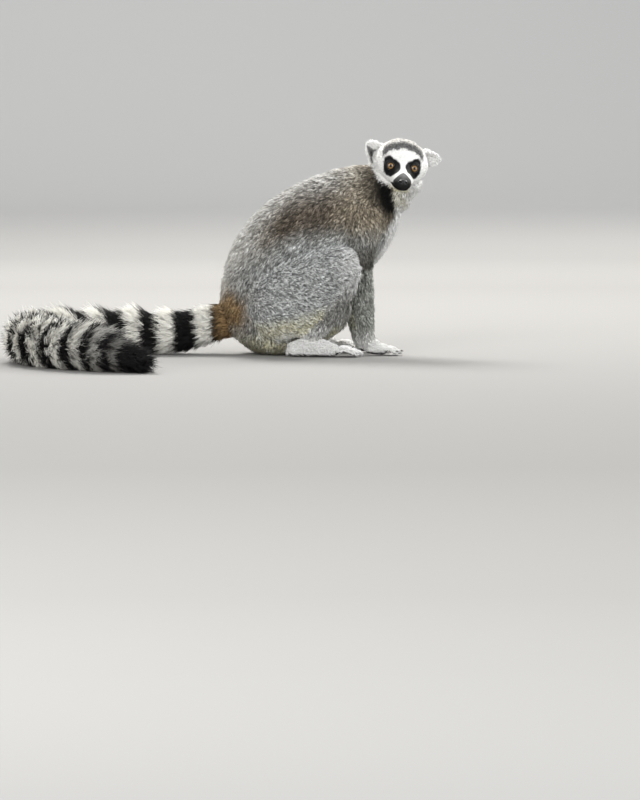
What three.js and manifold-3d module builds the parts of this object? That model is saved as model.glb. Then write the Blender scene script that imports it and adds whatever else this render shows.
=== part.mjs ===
// Ring-tailed lemur, life size, seated on its haunches with both hands on the floor,
// its head turned to its right and its tail laid out behind it in one open curve.
// Millimetres. +Z is up, the body faces +X, its right side is on the -Y side.
// The solids give the outline out to the tips of the coat.
import * as THREE from 'three';
import { mergeVertices } from 'three/addons/utils/BufferGeometryUtils.js';
import Module from 'manifold-3d';

const wasm = await Module();
wasm.setup();

// ---------------------------------------------------------------- driving sizes
const GAP = 0.3;                 // clearance left between neighbouring parts
const FLOOR = 0;                 // level of every flat the animal rests on
const SEAT_X = -40;              // where the haunches rest, before the model is moved there
const TRUNK_SIDES = 20;
const HEAD_SIDES = 16;
const LIMB_SIDES = 10;
const TAIL_SIDES = 12;
const DIGIT_SIDES = 6;

// Trunk, from the seat up to the root of the neck: back x, z, belly x, z, half width.
const TRUNK = [
  [-74, 13, -32, 0, 27],
  [-90, 26, -14, -4, 42],
  [-100, 46, 4, 3, 51],
  [-104, 72, 26, 14, 57],
  [-100, 109, 54, 28, 60],
  [-87, 146, 67, 52, 61],
  [-63, 180, 68, 80, 60],
  [-29, 208, 75, 97, 58],
  [9, 228, 83, 107, 54],
  [45, 241, 94, 113, 49],
  [72, 246, 108, 126, 44],
  [91, 247, 122, 152, 39],
  [103, 246, 134, 178, 35],
];
const RUMP_END = 3.5;            // station where the rump meets the loin
const LOIN_END = 7.4;            // station where the loin meets the chest

// Neck, from the chest into the back of the head: centre x, y, z, half width, half depth.
const NECK = [
  [107, 0, 196, 31, 36],
  [120, 0, 212, 34, 39],
  [127, 2, 228, 33, 36],
  [128, 6, 241, 29, 28],
];

// Head in its own axes: forward, height, half width, half height.
const HEAD_CENTRE = new THREE.Vector3(130, -8, 247);
const HEAD_YAW = 5;              // degrees the nose points ahead of square to the body
const HEAD_ROLL = 6.5;           // degrees its left side is lower than its right
const SKULL = [
  [-35, 3, 9, 8],
  [-31, 2, 20, 17],
  [-23, 1, 30, 26],
  [-11, 0, 38, 32.5],
  [1, 0, 41.5, 34.5],
  [12, -1, 39.5, 33],
  [20, -4, 33, 28.5],
  [26, -8, 25.5, 23.5],
  [31, -12.5, 19.5, 18.5],
  [38, -18, 15, 15],
  [46, -21.5, 12.6, 12.8],
  [53, -24, 10.6, 10.4],
  [57.5, -25, 7.4, 7.4],
];
const MUZZLE_START = 8.4;        // station where the muzzle meets the skull
const EYE_RADIUS = 8;
const EYE = { forward: 23.6, side: 15.4, height: -4 };
const NOSE = { forward: 57.2, height: -21.2, half: [4.6, 5.2, 4] };

// Ears, measured from the head centre (forward, left, height): root, tip, way each opens.
const EAR_WIDTHS = [8, 12.5, 14, 12, 7.5];
const EAR_THICK = 4.4;
const EARS = {
  left: { root: [-3, 29, 14], tip: [-8, 57, 14], opens: [0.72, 0, -0.7] },
  right: { root: [-2, -28, 8], tip: [-9, -49, 24], opens: [0.85, -0.5, 0.1] },
};

// Limbs of the right side: x, y, z, half width across, half depth. The left mirrors them.
const THIGH = [
  [-44, -46, 57, 27, 42],
  [-16, -51, 70, 30, 50],
  [16, -56, 95, 28, 42],
  [44, -60, 114, 23, 32],
  [61, -62, 126, 18, 22],
];
const SHANK = [
  [61, -62, 118, 16, 21],
  [54, -61, 93, 16.5, 22],
  [40, -59, 64, 14.5, 19.5],
  [24, -57, 38, 12, 15.5],
  [11, -56, 21, 10, 12.5],
];
const UPPER_ARM = [
  [82, -38, 184, 17, 26],
  [82, -40, 160, 17, 23],
  [79, -37, 134, 15, 19],
  [77, -31, 112, 14, 17.5],
];
const FOREARM = [
  [77.5, -30, 112, 13.5, 18],
  [79.5, -29, 84, 13.5, 17.5],
  [83, -28, 54, 12, 14.5],
  [86, -27, 30, 10, 11.5],
  [88.5, -27, 17, 9, 9.5],
];
const LEFT_ARM_BACK = 11;        // the left arm stands this much nearer the haunches

// Foot and hand: x, y, z, half width, half height of the sole or palm.
const FOOT = [
  [-12, -56, 8.5, 8.5, 9.5],
  [6, -56, 12, 10.5, 13.5],
  [25, -57, 11.5, 12, 13],
  [44, -58, 7.5, 13, 9],
];
const HAND = [
  [90, -27, 12, 9, 11],
  [98, -27, 8.5, 11, 9],
  [108, -27, 6, 11, 6.8],
];
// Digits of a right limb, counted from the inner one: root, tip and half thickness.
const TOES = [
  { root: [18, -50, 8], tip: [42, -37, 5.2], half: 5.4 },
  { root: [43, -50, 8], tip: [66, -46, 5.0], half: 5.0 },
  { root: [45, -55, 8], tip: [73, -53.5, 5.0], half: 5.1 },
  { root: [45, -61, 8], tip: [75, -62, 5.0], half: 5.1 },
  { root: [43, -66, 8], tip: [70, -70.5, 5.0], half: 5.0 },
];
const FINGERS = [
  { root: [98, -20, 6.5], tip: [111, -11, 4.2], half: 4.3 },
  { root: [107, -20.5, 6.4], tip: [123, -16, 4.0], half: 4.2 },
  { root: [108, -25, 6.6], tip: [128.5, -23.8, 4.0], half: 4.3 },
  { root: [108, -29.5, 6.6], tip: [129, -31.3, 4.0], half: 4.3 },
  { root: [106, -33.8, 6.4], tip: [123, -39, 4.0], half: 4.2 },
];
const KNUCKLE_RISE = 4.2;        // how far a digit arches above the line from root to tip

// Tail, from the rump to the tip.
const TAIL_ROOT = new THREE.Vector3(-76, 0, 47);
const TAIL_LENGTH = 597;
const TAIL_TOUCHDOWN = 105;      // length after which it lies on the floor
const TAIL_SINK = 1;             // depth of the flat under it
const TAIL_HEADINGS = [0, 2, 9, 24, 46, 71, 96, 118, 134, 144, 149];
const TAIL_CUTS = [0, 112, 214, 316, 418, 516, TAIL_LENGTH];
const TAIL_RADII = [23, 26.5, 29, 30, 30.5, 30.2, 29.6, 28.8, 27.8, 26, 15];
const RINGS_AT = [42, 90, 137, 189, 243, 294, 343, 389, 430, 468, 501, 528];
const RING_SWELL = 1.6;          // the pale rings stand this much proud of the dark ones

// ---------------------------------------------------------------- colours of the parts
const LOOKS = {
  back: { color: 0x6b6055, roughness: 0.95 },
  flank: { color: 0x94968f, roughness: 0.95 },
  cream: { color: 0xe6e2d6, roughness: 0.95 },
  ruff: { color: 0x4a4845, roughness: 0.95 },
  dark: { color: 0x1b1a18, roughness: 0.9 },
  leather: { color: 0x121211, roughness: 0.5 },
  amber: { color: 0x8a4a12, roughness: 0.12 },
};

// ---------------------------------------------------------------- small mathematics
const radians = (degrees) => degrees * Math.PI / 180;
const vector = (xyz) => new THREE.Vector3(xyz[0], xyz[1], xyz[2]);

function catmull(a, b, c, d, t) {
  const linear = (c - a) * t;
  const square = (2 * a - 5 * b + 4 * c - d) * t * t;
  const cube = (3 * b - a - 3 * c + d) * t * t * t;
  return b + 0.5 * (linear + square + cube);
}

// Row of a table at a fractional station, on a smooth curve through all its rows.
function rowAt(table, station) {
  const last = table.length - 1;
  const i = Math.min(Math.floor(station), last - 1);
  const pick = (k) => table[Math.max(0, Math.min(last, k))];
  return table[0].map((_, n) =>
    catmull(pick(i - 1)[n], pick(i)[n], pick(i + 1)[n], pick(i + 2)[n], station - i));
}

function spaced(from, to, count) {
  return Array.from({ length: count + 1 }, (_, i) => from + (to - from) * i / count);
}

function mirrored(rows) {
  return rows.map((row) => [row[0], -row[1], ...row.slice(2)]);
}

// ---------------------------------------------------------------- closed lofts
// A section is a centre with two half axes; the first and last close to a point.
const section = (centre, across, depth) => ({ centre, across, depth });
const closing = (centre) => section(centre, new THREE.Vector3(), new THREE.Vector3());

function ringPoint(s, turn) {
  const p = s.centre.clone();
  p.addScaledVector(s.across, Math.cos(turn));
  p.addScaledVector(s.depth, Math.sin(turn));
  return p;
}

function fan(tip, ring, sides, out) {
  for (let k = 0; k < sides; k += 1) out.push(tip, ring + k, ring + (k + 1) % sides);
}

function band(lower, upper, sides, out) {
  for (let k = 0; k < sides; k += 1) {
    const n = (k + 1) % sides;
    out.push(lower + k, upper + k, upper + n);
    out.push(lower + k, upper + n, lower + n);
  }
}

function loft(sections, sides) {
  const rings = sections.slice(1, -1);
  const points = [sections[0].centre];
  rings.forEach((s) => {
    for (let k = 0; k < sides; k += 1) points.push(ringPoint(s, 2 * Math.PI * k / sides));
  });
  points.push(sections[sections.length - 1].centre);
  const index = [];
  const start = [];
  fan(0, 1, sides, start);
  for (let i = 0; i < start.length; i += 3) index.push(start[i], start[i + 1], start[i + 2]);
  for (let r = 0; r + 1 < rings.length; r += 1) {
    band(1 + r * sides, 1 + (r + 1) * sides, sides, index);
  }
  const end = [];
  fan(points.length - 1, 1 + (rings.length - 1) * sides, sides, end);
  for (let i = 0; i < end.length; i += 3) index.push(end[i], end[i + 2], end[i + 1]);
  return manifoldOf(points.flatMap((p) => [p.x, p.y, p.z]), facingOut(points, index));
}

function facingOut(points, index) {
  let volume = 0;
  for (let i = 0; i < index.length; i += 3) {
    const [a, b, c] = [points[index[i]], points[index[i + 1]], points[index[i + 2]]];
    volume += a.dot(b.clone().cross(c));
  }
  if (volume > 0) return index;
  const turned = [];
  for (let i = 0; i < index.length; i += 3) turned.push(index[i], index[i + 2], index[i + 1]);
  return turned;
}

function manifoldOf(numbers, index) {
  const vertProperties = new Float32Array(numbers);
  const triVerts = new Uint32Array(index);
  return new wasm.Manifold(new wasm.Mesh({ numProp: 3, vertProperties, triVerts }));
}

// A three.js geometry as a solid.
function solidOf(geometry) {
  const bare = geometry.clone();
  bare.deleteAttribute('normal');
  bare.deleteAttribute('uv');
  const welded = mergeVertices(bare, 1e-4);
  return manifoldOf(Array.from(welded.attributes.position.array), Array.from(welded.index.array));
}

// Sections along a bent limb; the half width stays as near as it can to `side`.
function limbSections(rows, side, grow) {
  const centres = rows.map((row) => vector(row));
  return rows.map((row, i) => {
    const ahead = centres[Math.min(i + 1, rows.length - 1)];
    const behind = centres[Math.max(i - 1, 0)];
    const along = ahead.clone().sub(behind).normalize();
    const across = side.clone().addScaledVector(along, -side.dot(along)).normalize();
    const depth = along.clone().cross(across);
    return section(centres[i], across.multiplyScalar(row[3] + grow),
      depth.multiplyScalar(row[4] + grow));
  });
}

// A rounded end beyond the last section, `away` pointing out of the limb.
function dome(end, away, bulge, angles = [50]) {
  const reach = bulge * Math.min(end.across.length(), end.depth.length());
  const steps = angles.map((angle) => {
    const centre = end.centre.clone().addScaledVector(away, reach * Math.sin(radians(angle)));
    const shrink = Math.cos(radians(angle));
    return section(centre, end.across.clone().multiplyScalar(shrink),
      end.depth.clone().multiplyScalar(shrink));
  });
  return [...steps, closing(end.centre.clone().addScaledVector(away, reach))];
}

function domedLoft(sections, sides, bulge = 1) {
  const first = sections[0];
  const last = sections[sections.length - 1];
  const out = last.centre.clone().sub(sections[sections.length - 2].centre).normalize();
  const back = first.centre.clone().sub(sections[1].centre).normalize();
  const head = dome(first, back, bulge).reverse();
  return loft([...head, ...sections, ...dome(last, out, bulge)], sides);
}

function flatLoft(sections, sides) {
  const first = sections[0];
  const last = sections[sections.length - 1];
  return loft([closing(first.centre), ...sections, closing(last.centre)], sides);
}

const Y_AXIS = new THREE.Vector3(0, 1, 0);

function limb(rows, rings, sides, grow, bulge = 1) {
  const finer = spaced(0, rows.length - 1, rings).map((t) => rowAt(rows, t));
  return domedLoft(limbSections(finer, Y_AXIS, grow), sides, bulge);
}

// ---------------------------------------------------------------- trunk and neck
function trunkSection(row, grow) {
  const back = new THREE.Vector3(row[0], 0, row[1]);
  const belly = new THREE.Vector3(row[2], 0, row[3]);
  const centre = back.clone().add(belly).multiplyScalar(0.5);
  const depth = back.clone().sub(centre);
  depth.setLength(depth.length() + grow);
  return section(centre, new THREE.Vector3(0, row[4] + grow, 0), depth);
}

function trunkLength(from, to, rings, shave) {
  const sections = spaced(from, to, rings).map((t) => trunkSection(rowAt(TRUNK, t), 0));
  const along = (a, b) => b.centre.clone().sub(a.centre).normalize();
  const first = along(sections[0], sections[1]);
  const last = along(sections[rings], sections[rings - 1]);
  if (shave[0]) sections[0].centre.addScaledVector(first, GAP / 2);
  if (shave[1]) sections[rings].centre.addScaledVector(last, GAP / 2);
  return sections;
}

function rump() {
  const sections = trunkLength(0, RUMP_END, 6, [false, true]);
  const down = new THREE.Vector3(0.35, 0, -1).normalize();
  const seat = dome(sections[0], down, 0.3).reverse();
  const end = sections[sections.length - 1];
  return loft([...seat, ...sections, closing(end.centre)], TRUNK_SIDES);
}

const loin = () => flatLoft(trunkLength(RUMP_END, LOIN_END, 5, [true, true]), TRUNK_SIDES);
const chest = () =>
  flatLoft(trunkLength(LOIN_END, TRUNK.length - 1, 6, [true, false]), TRUNK_SIDES);

function neck(grow) {
  const finer = spaced(0, NECK.length - 1, 3).map((t) => rowAt(NECK, t));
  return domedLoft(limbSections(finer, Y_AXIS, grow), 12, 0.5);
}

// ---------------------------------------------------------------- head
function headAxes() {
  const yaw = radians(HEAD_YAW);
  const roll = radians(HEAD_ROLL);
  const forward = new THREE.Vector3(Math.sin(yaw), -Math.cos(yaw), 0);
  const level = new THREE.Vector3(Math.cos(yaw), Math.sin(yaw), 0);
  const left = level.multiplyScalar(Math.cos(roll)).add(new THREE.Vector3(0, 0, -Math.sin(roll)));
  const up = forward.clone().cross(left);
  return { forward, left, up };
}

const AXES = headAxes();

function headWay(forward, left, up) {
  const way = AXES.forward.clone().multiplyScalar(forward);
  return way.addScaledVector(AXES.left, left).addScaledVector(AXES.up, up);
}

const headPoint = (forward, left, up) => headWay(forward, left, up).add(HEAD_CENTRE);

function skullSection(row, grow) {
  return section(headPoint(row[0], 0, row[1]), headWay(0, row[2] + grow, 0),
    headWay(0, 0, row[3] + grow));
}

function skull(grow) {
  const stations = spaced(0, MUZZLE_START - 0.03, 8);
  const sections = stations.map((t) => skullSection(rowAt(SKULL, t), grow));
  const back = dome(sections[0], AXES.forward.clone().negate(), 0.45, [35, 65]).reverse();
  const front = sections[sections.length - 1];
  return loft([...back, ...sections, closing(front.centre)], HEAD_SIDES);
}

function muzzle(grow) {
  const stations = spaced(MUZZLE_START + 0.03, SKULL.length - 1, 4);
  const sections = stations.map((t) => skullSection(rowAt(SKULL, t), grow));
  const end = sections[sections.length - 1];
  return loft([closing(sections[0].centre), ...sections, ...dome(end, AXES.forward, 0.4)], 12);
}

function eye(side, grow) {
  const centre = headPoint(EYE.forward, side * EYE.side, EYE.height);
  const ball = new THREE.SphereGeometry(EYE_RADIUS + grow, 12, 7);
  return solidOf(ball.translate(centre.x, centre.y, centre.z));
}

function nose(grow) {
  const ball = new THREE.SphereGeometry(1, 8, 6);
  const [f, l, u] = NOSE.half.map((half) => half + grow);
  const basis = new THREE.Matrix4().makeBasis(headWay(f, 0, 0), headWay(0, l, 0), headWay(0, 0, u));
  basis.setPosition(headPoint(NOSE.forward, 0, NOSE.height));
  return solidOf(ball.applyMatrix4(basis));
}

// Leaf-like cup: a flat loft from root to tip, hollowed on the side it opens to.
function earLeaf(shape, thick, inset, push, grow) {
  const root = vector(shape.root);
  const tip = vector(shape.tip);
  const along = tip.clone().sub(root).normalize();
  const opens = vector(shape.opens);
  opens.addScaledVector(along, -opens.dot(along)).normalize();
  const across = along.clone().cross(opens);
  const rows = EAR_WIDTHS.map((half, i) => {
    const t = i / (EAR_WIDTHS.length - 1);
    const at = root.clone().lerp(tip, t * 0.82).addScaledVector(opens, push);
    return section(headPoint(at.x, at.y, at.z),
      headWay(across.x, across.y, across.z).multiplyScalar(half - inset + grow),
      headWay(opens.x, opens.y, opens.z).multiplyScalar(thick + grow));
  });
  return domedLoft(rows, 8, 1.2);
}

function ear(side, grow) {
  const shape = EARS[side];
  const leaf = earLeaf(shape, EAR_THICK, 0, 0, grow);
  if (grow > 0) return leaf;
  const cup = { ...shape, root: shape.root.map((v, i) => v + (shape.tip[i] - v) * 0.3) };
  return leaf.subtract(earLeaf(cup, EAR_THICK, 4.2, EAR_THICK * 0.95, 0));
}

// ---------------------------------------------------------------- limbs
const sided = (rows, side) => (side === 'right' ? rows : mirrored(rows));

function digit(shape, side, grow) {
  const [root, tip] = [shape.root, shape.tip].map((p) => vector(sided([p], side)[0]));
  const rows = [0, 0.5, 1].map((t) => {
    const at = root.clone().lerp(tip, t);
    at.z += KNUCKLE_RISE * Math.sin(Math.PI * Math.min(1, t * 1.15)) * (1 - 0.3 * t);
    return [at.x, at.y, at.z, shape.half + grow, shape.half * (1.05 - 0.12 * t) + grow];
  });
  const sections = limbSections(rows, Y_AXIS, 0);
  const out = sections[2].centre.clone().sub(sections[1].centre).normalize();
  return loft([closing(sections[0].centre), ...sections, ...dome(sections[2], out, 1)],
    DIGIT_SIDES);
}

function extremity(rows, digits, side, grow) {
  const palm = limb(sided(rows, side), 3, 8, grow, 0.8);
  return digits.reduce((whole, shape) => whole.add(digit(shape, side, grow)), palm);
}

// ---------------------------------------------------------------- tail
function tailHeading(s) {
  const station = s / TAIL_LENGTH * (TAIL_HEADINGS.length - 1);
  return radians(rowAt(TAIL_HEADINGS.map((h) => [h]), station)[0]);
}

function tailRadius(s) {
  const station = s / TAIL_LENGTH * (TAIL_RADII.length - 1);
  const plain = rowAt(TAIL_RADII.map((r) => [r]), station)[0];
  const near = Math.min(...RINGS_AT.map((ring) => Math.abs(ring - s)));
  const swell = s < RINGS_AT[0] || s > 540 ? 0 : Math.cos(Math.min(near / 22, 1) * Math.PI);
  return plain + swell * RING_SWELL;
}

function tailHeight(s) {
  const t = Math.min(1, s / TAIL_TOUCHDOWN);
  const lying = tailRadius(s) - TAIL_SINK;
  return TAIL_ROOT.z + (lying - TAIL_ROOT.z) * t * t * (3 - 2 * t);
}

function tailPath() {
  const step = 2;
  const path = [];
  let [x, y] = [TAIL_ROOT.x, TAIL_ROOT.y];
  for (let s = 0; s <= TAIL_LENGTH; s += step) {
    path.push([x, y]);
    x -= step * Math.cos(tailHeading(s));
    y -= step * Math.sin(tailHeading(s));
  }
  return (s) => rowAt(path, Math.min(s / step, path.length - 1));
}

const TAIL_AT = tailPath();

function tailSection(s, grow) {
  const [x, y] = TAIL_AT(s);
  const heading = tailHeading(s);
  const half = tailRadius(s) + grow;
  const centre = new THREE.Vector3(x, y, tailHeight(s));
  const across = new THREE.Vector3(-Math.sin(heading), Math.cos(heading), 0);
  return section(centre, across.multiplyScalar(half), new THREE.Vector3(0, 0, half));
}

function tailLength(n, grow) {
  const from = TAIL_CUTS[n] + (n === 0 ? 0 : GAP / 2);
  const last = n === TAIL_CUTS.length - 2;
  const to = TAIL_CUTS[n + 1] - (last ? 0 : GAP / 2);
  const sections = spaced(from, to, 6).map((s) => tailSection(s, grow));
  if (!last) return flatLoft(sections, TAIL_SIDES);
  const end = sections[sections.length - 1];
  const heading = tailHeading(TAIL_LENGTH);
  const away = new THREE.Vector3(-Math.cos(heading), -Math.sin(heading), 0);
  return loft([closing(sections[0].centre), ...sections, ...dome(end, away, 1)], TAIL_SIDES);
}

// ---------------------------------------------------------------- the parts in order
// Each part is cut clear of every part listed before it.
const PARTS = [];
const part = (name, look, shape) => PARTS.push({ name, look, shape });

['left', 'right'].forEach((side) => {
  const sign = side === 'left' ? 1 : -1;
  part(`eye_${side}`, 'amber', (grow) => eye(sign, grow));
  part(`ear_${side}`, 'cream', (grow) => ear(side, grow));
});
part('nose', 'leather', nose);
part('muzzle', 'dark', muzzle);
part('head', 'cream', skull);
part('neck', 'ruff', neck);
const placed = (solid, side) => (side === 'left' ? solid.translate(-LEFT_ARM_BACK, 0, 0) : solid);
['left', 'right'].forEach((side) => {
  part(`hand_${side}`, 'cream', (grow) => placed(extremity(HAND, FINGERS, side, grow), side));
  part(`forearm_${side}`, 'flank',
    (grow) => placed(limb(sided(FOREARM, side), 4, LIMB_SIDES, grow, 0.7), side));
  part(`upper_arm_${side}`, 'flank',
    (grow) => placed(limb(sided(UPPER_ARM, side), 3, LIMB_SIDES, grow, 0.8), side));
  part(`foot_${side}`, 'cream', (grow) => extremity(FOOT, TOES, side, grow));
  part(`thigh_${side}`, 'flank', (grow) => limb(sided(THIGH, side), 5, 16, grow, 0.75));
  part(`shank_${side}`, 'flank', (grow) => limb(sided(SHANK, side), 4, LIMB_SIDES, grow, 0.8));
});
for (let n = 0; n < TAIL_CUTS.length - 1; n += 1) {
  part(`tail_${n + 1}`, n === TAIL_CUTS.length - 2 ? 'dark' : 'back', (grow) => tailLength(n, grow));
}
part('rump', 'back', rump);
part('loin', 'back', loin);
part('chest', 'flank', chest);

// ---------------------------------------------------------------- cutting and placing
function floorBlock() {
  const block = new THREE.BoxGeometry(1600, 1600, 200);
  return solidOf(block.translate(0, 0, FLOOR - 100));
}

function meets(a, b) {
  const [p, q] = [a.boundingBox(), b.boundingBox()];
  return [0, 1, 2].every((i) => p.min[i] < q.max[i] && q.min[i] < p.max[i]);
}

function cutClear(solid, others) {
  return others.reduce((left, other) => (meets(left, other) ? left.subtract(other) : left), solid);
}

function meshOf(name, look, solid) {
  const made = solid.getMesh();
  const geometry = new THREE.BufferGeometry();
  const positions = new Float32Array(made.numVert * 3);
  for (let v = 0; v < made.numVert; v += 1) {
    for (let k = 0; k < 3; k += 1) positions[3 * v + k] = made.vertProperties[v * made.numProp + k];
  }
  geometry.setAttribute('position', new THREE.BufferAttribute(positions, 3));
  geometry.setIndex(Array.from(made.triVerts));
  const flatShaded = geometry.toNonIndexed();
  flatShaded.computeVertexNormals();
  const material = new THREE.MeshStandardMaterial({ ...LOOKS[look], metalness: 0 });
  const mesh = new THREE.Mesh(flatShaded, material);
  mesh.name = name;
  return mesh;
}

function lemur() {
  const model = new THREE.Group();
  model.name = 'ring_tailed_lemur';
  const floor = floorBlock();
  const taken = [];
  PARTS.forEach(({ name, look, shape }) => {
    const solid = cutClear(shape(0).subtract(floor), taken);
    model.add(meshOf(name, look, solid));
    if (shape.length > 0) taken.push(shape(GAP));
  });
  model.position.set(-SEAT_X, 0, 0);
  return model;
}

export default lemur();
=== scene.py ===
"""Ring-tailed lemur, life size, sitting on its haunches with its head turned to its right."""

import math
from functools import lru_cache
from itertools import product

import bmesh
import bpy
import numpy as np
from bpy.props import FloatProperty, FloatVectorProperty, IntProperty, PointerProperty
from mathutils import Matrix, Vector
from mathutils.bvhtree import BVHTree


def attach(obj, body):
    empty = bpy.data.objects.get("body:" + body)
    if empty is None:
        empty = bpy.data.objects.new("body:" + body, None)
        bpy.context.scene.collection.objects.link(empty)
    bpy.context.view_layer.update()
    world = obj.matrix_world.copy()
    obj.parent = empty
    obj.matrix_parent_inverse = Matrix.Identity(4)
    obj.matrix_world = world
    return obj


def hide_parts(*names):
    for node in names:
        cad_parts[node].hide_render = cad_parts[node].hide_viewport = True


bl_info = {
    "name": "Ring-Tailed Lemur",
    "version": (1, 0, 0),
    "blender": (4, 5, 0),
    "location": "View3D > Sidebar > Lemur",
    "description": "Builds the skin, coat, eyes, nose, nails and studio of a seated lemur",
    "category": "Add Mesh",
}

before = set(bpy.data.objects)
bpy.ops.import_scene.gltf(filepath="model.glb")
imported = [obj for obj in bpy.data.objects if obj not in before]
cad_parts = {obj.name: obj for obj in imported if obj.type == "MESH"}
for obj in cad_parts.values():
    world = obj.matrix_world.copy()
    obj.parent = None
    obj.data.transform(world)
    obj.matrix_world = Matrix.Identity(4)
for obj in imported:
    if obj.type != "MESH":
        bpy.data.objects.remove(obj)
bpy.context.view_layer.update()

MM = 0.001
SIDES = ("left", "right")
TRUNK = ("chest", "loin", "rump", "neck")
FACE = ("head", "muzzle")
PAWS = ("hand", "foot")
PAIRED = ("upper_arm", "forearm", "hand", "thigh", "shank", "foot", "ear")
TAIL = tuple(f"tail_{n}" for n in range(1, 7))
FLESH = (*TRUNK, *FACE, *TAIL, *(f"{part}_{side}" for part in PAIRED for side in SIDES))


def kind(name):
    """What sort of part a solid is: its name without its side or its number."""
    return name.rsplit("_", 1)[0] if name.endswith(SIDES) or name in TAIL else name


KINDS = np.array([kind(name) for name in FLESH])

# Axes of the head, as the solids have them.
HEAD_CENTRE = np.array((0.170, -0.008, 0.247))
HEAD_YAW, HEAD_ROLL = math.radians(5.0), math.radians(6.5)
HEAD_FORWARD = np.array((math.sin(HEAD_YAW), -math.cos(HEAD_YAW), 0.0))
HEAD_LEFT = np.array((math.cos(HEAD_YAW), math.sin(HEAD_YAW), 0.0)) * math.cos(HEAD_ROLL)
HEAD_LEFT = HEAD_LEFT + np.array((0.0, 0.0, -math.sin(HEAD_ROLL)))
HEAD_AXES = np.array((HEAD_FORWARD, HEAD_LEFT, np.cross(HEAD_FORWARD, HEAD_LEFT)))

# The head in its own axes, mm. Outline: forward, height, half width, half height.
SKULL = np.array((
    (-35, 3, 9, 8), (-31, 2, 19, 17), (-23, 1, 28, 26), (-11, 0, 35.5, 32.5),
    (1, 0, 38.5, 34.5), (12, -1, 37.5, 33), (20, -4, 32.5, 28.5), (26, -8, 25.5, 23.5),
    (31, -12.5, 19.5, 18.5), (38, -18, 15, 15), (46, -21.5, 12.6, 12.8),
    (53, -24, 10.6, 10.4), (57.5, -25, 7.4, 7.4), (59.5, -25.2, 4, 4),
))
PARTING = (66.0, 0.0, -21.0)     # the hair of the head lies away from this point before the nose
BROW_START = 12.0                # the face's small shapes lie forward of this
EYE_AT = (23.6, 15.4, -4.0)      # forward, sideways, height
EYE_RADIUS = 8.0
SOCKET_DEPTH = 2.2               # of the skin below the eye's surface, behind the opening
LID_THICKNESS = 0.75
LID_EDGE = math.radians(7)       # width of the step from the opening to the lids
LID_FROM, LID_TO = math.radians(60), math.radians(86)   # the lids flatten out between these turns
RIM_RISE, RIM_RADIUS = 0.35, 0.62
RIM_OVAL, RIM_TILT = 0.07, 0.35
CORNEA_RISE, CORNEA_REACH = 0.045, 0.62
GAZE_OUT = math.radians(1)       # each eye looks this far outward of straight ahead
GAZE_UP = math.radians(3)
NOSE_AT, NOSE_SIZE = (55.4, 0.0, -22.9), (4.6, 6.0, 4.3)

# Ears: root, tip, the way the cup opens; half widths from root to tip, of the rim in front and behind.
EARS_AT = {
    "left": ((-3, 26, 11), (-6, 50.5, 11), (0.90, 0.1, -0.42)),
    "right": ((-4, -25, 1), (-7, -43.5, 21), (0.90, -0.34, 0.0)),
}
EAR_FRONT = {"left": (12.0, 12.0, 11.5, 10.2, 7.2, 2.6), "right": (14.0, 15.0, 15.2, 14.4, 11.6, 6.0)}
EAR_BEHIND = (12.0, 12.0, 11.0, 9.6, 7.0, 2.6)
EAR_LIFT = ((0, 8.5), (0.35, 7.0), (0.75, 4.5), (1, 2.0))
EAR_THICKNESS = 3.2
EAR_SET_IN, EAR_OPENING = 4.0, 3.0       # the cup lies this deep at its root, and comes out by this

# Markings of the head: turn round an eye (degrees) and reach of its dark patch; distance from
# the middle and height of the lower edge of the crown; height and half width of the dark muzzle.
EYE_PATCH = ((0, 8.7), (30, 9.4), (55, 12.4), (72, 13.2), (90, 12.0), (112, 10.4), (135, 11.3),
             (160, 12.4), (180, 12.3), (205, 11.2), (230, 10.0), (250, 10.8), (268, 13.2),
             (285, 12.6), (310, 10.2), (335, 8.7), (360, 8.7))
CROWN_EDGE = ((0, 19.6), (3, 18.9), (6, 17.5), (12.7, 16.4), (18, 13.2), (22.8, 8.6), (26, 4.0),
              (60, -40))
MUZZLE_EDGE = ((-37, 8.0), (-34, 10.5), (-30, 12.0), (-26, 12.3), (-21.5, 11.6), (-18, 9.8),
               (-14.5, 6.4), (-11.8, 3.2), (-9.0, -2.5))
# Over the distance forward: height of the mouth line, depth of the coat, length of the hair on
# head and muzzle, and how much of its lift the hair keeps.
MOUTH_LINE = ((30, -23.0), (36, -26.2), (44, -29.0), (52, -30.2), (58, -30.4))
FACE_DEPTH = ((-30, 5.5), (5, 5.5), (18, 4.2), (27, 2.2), (34, 1.2), (44, 0.7), (58, 0.5))
HEAD_HAIR = ((-20, 9.0), (6, 7.2), (14, 4.6), (22, 2.8), (32, 2.0))
MUZZLE_HAIR = ((30, 2.2), (40, 1.5), (50, 1.0))
HEAD_LIFT = ((0, 1.0), (12, 0.8), (25, 0.6))

# Joints of a right limb, metres; the left ones mirror them.
HIP, KNEE, ANKLE, TOE = (0.0, -0.048, 0.07), (0.102, -0.062, 0.12), (0.05, -0.056, 0.02), (0.12, -0.06, 0.004)
SHOULDER, ELBOW = (0.122, -0.038, 0.19), (0.118, -0.03, 0.112)
WRIST, FINGERTIP = (0.128, -0.027, 0.02), (0.17, -0.028, 0.004)
LEFT_ARM_BACK = 0.011            # the left arm stands this much nearer the haunches
SPINE = np.array((
    (0.166, 0.0, 0.232), (0.140, 0.0, 0.205), (0.090, 0.0, 0.180), (0.040, 0.0, 0.150),
    (0.000, 0.0, 0.115), (-0.020, 0.0, 0.075), (-0.035, 0.0, 0.045),
))
# Limbs: the joints that their hair runs between, and how much it droops.
LIMBS = {
    "upper_arm": (SHOULDER, ELBOW, 0.15), "forearm": (ELBOW, WRIST, 0.0), "hand": (WRIST, FINGERTIP, 0.0),
    "thigh": (HIP, KNEE, 0.75), "shank": (KNEE, ANKLE, 0.1), "foot": (ANKLE, TOE, 0.0),
}
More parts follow.
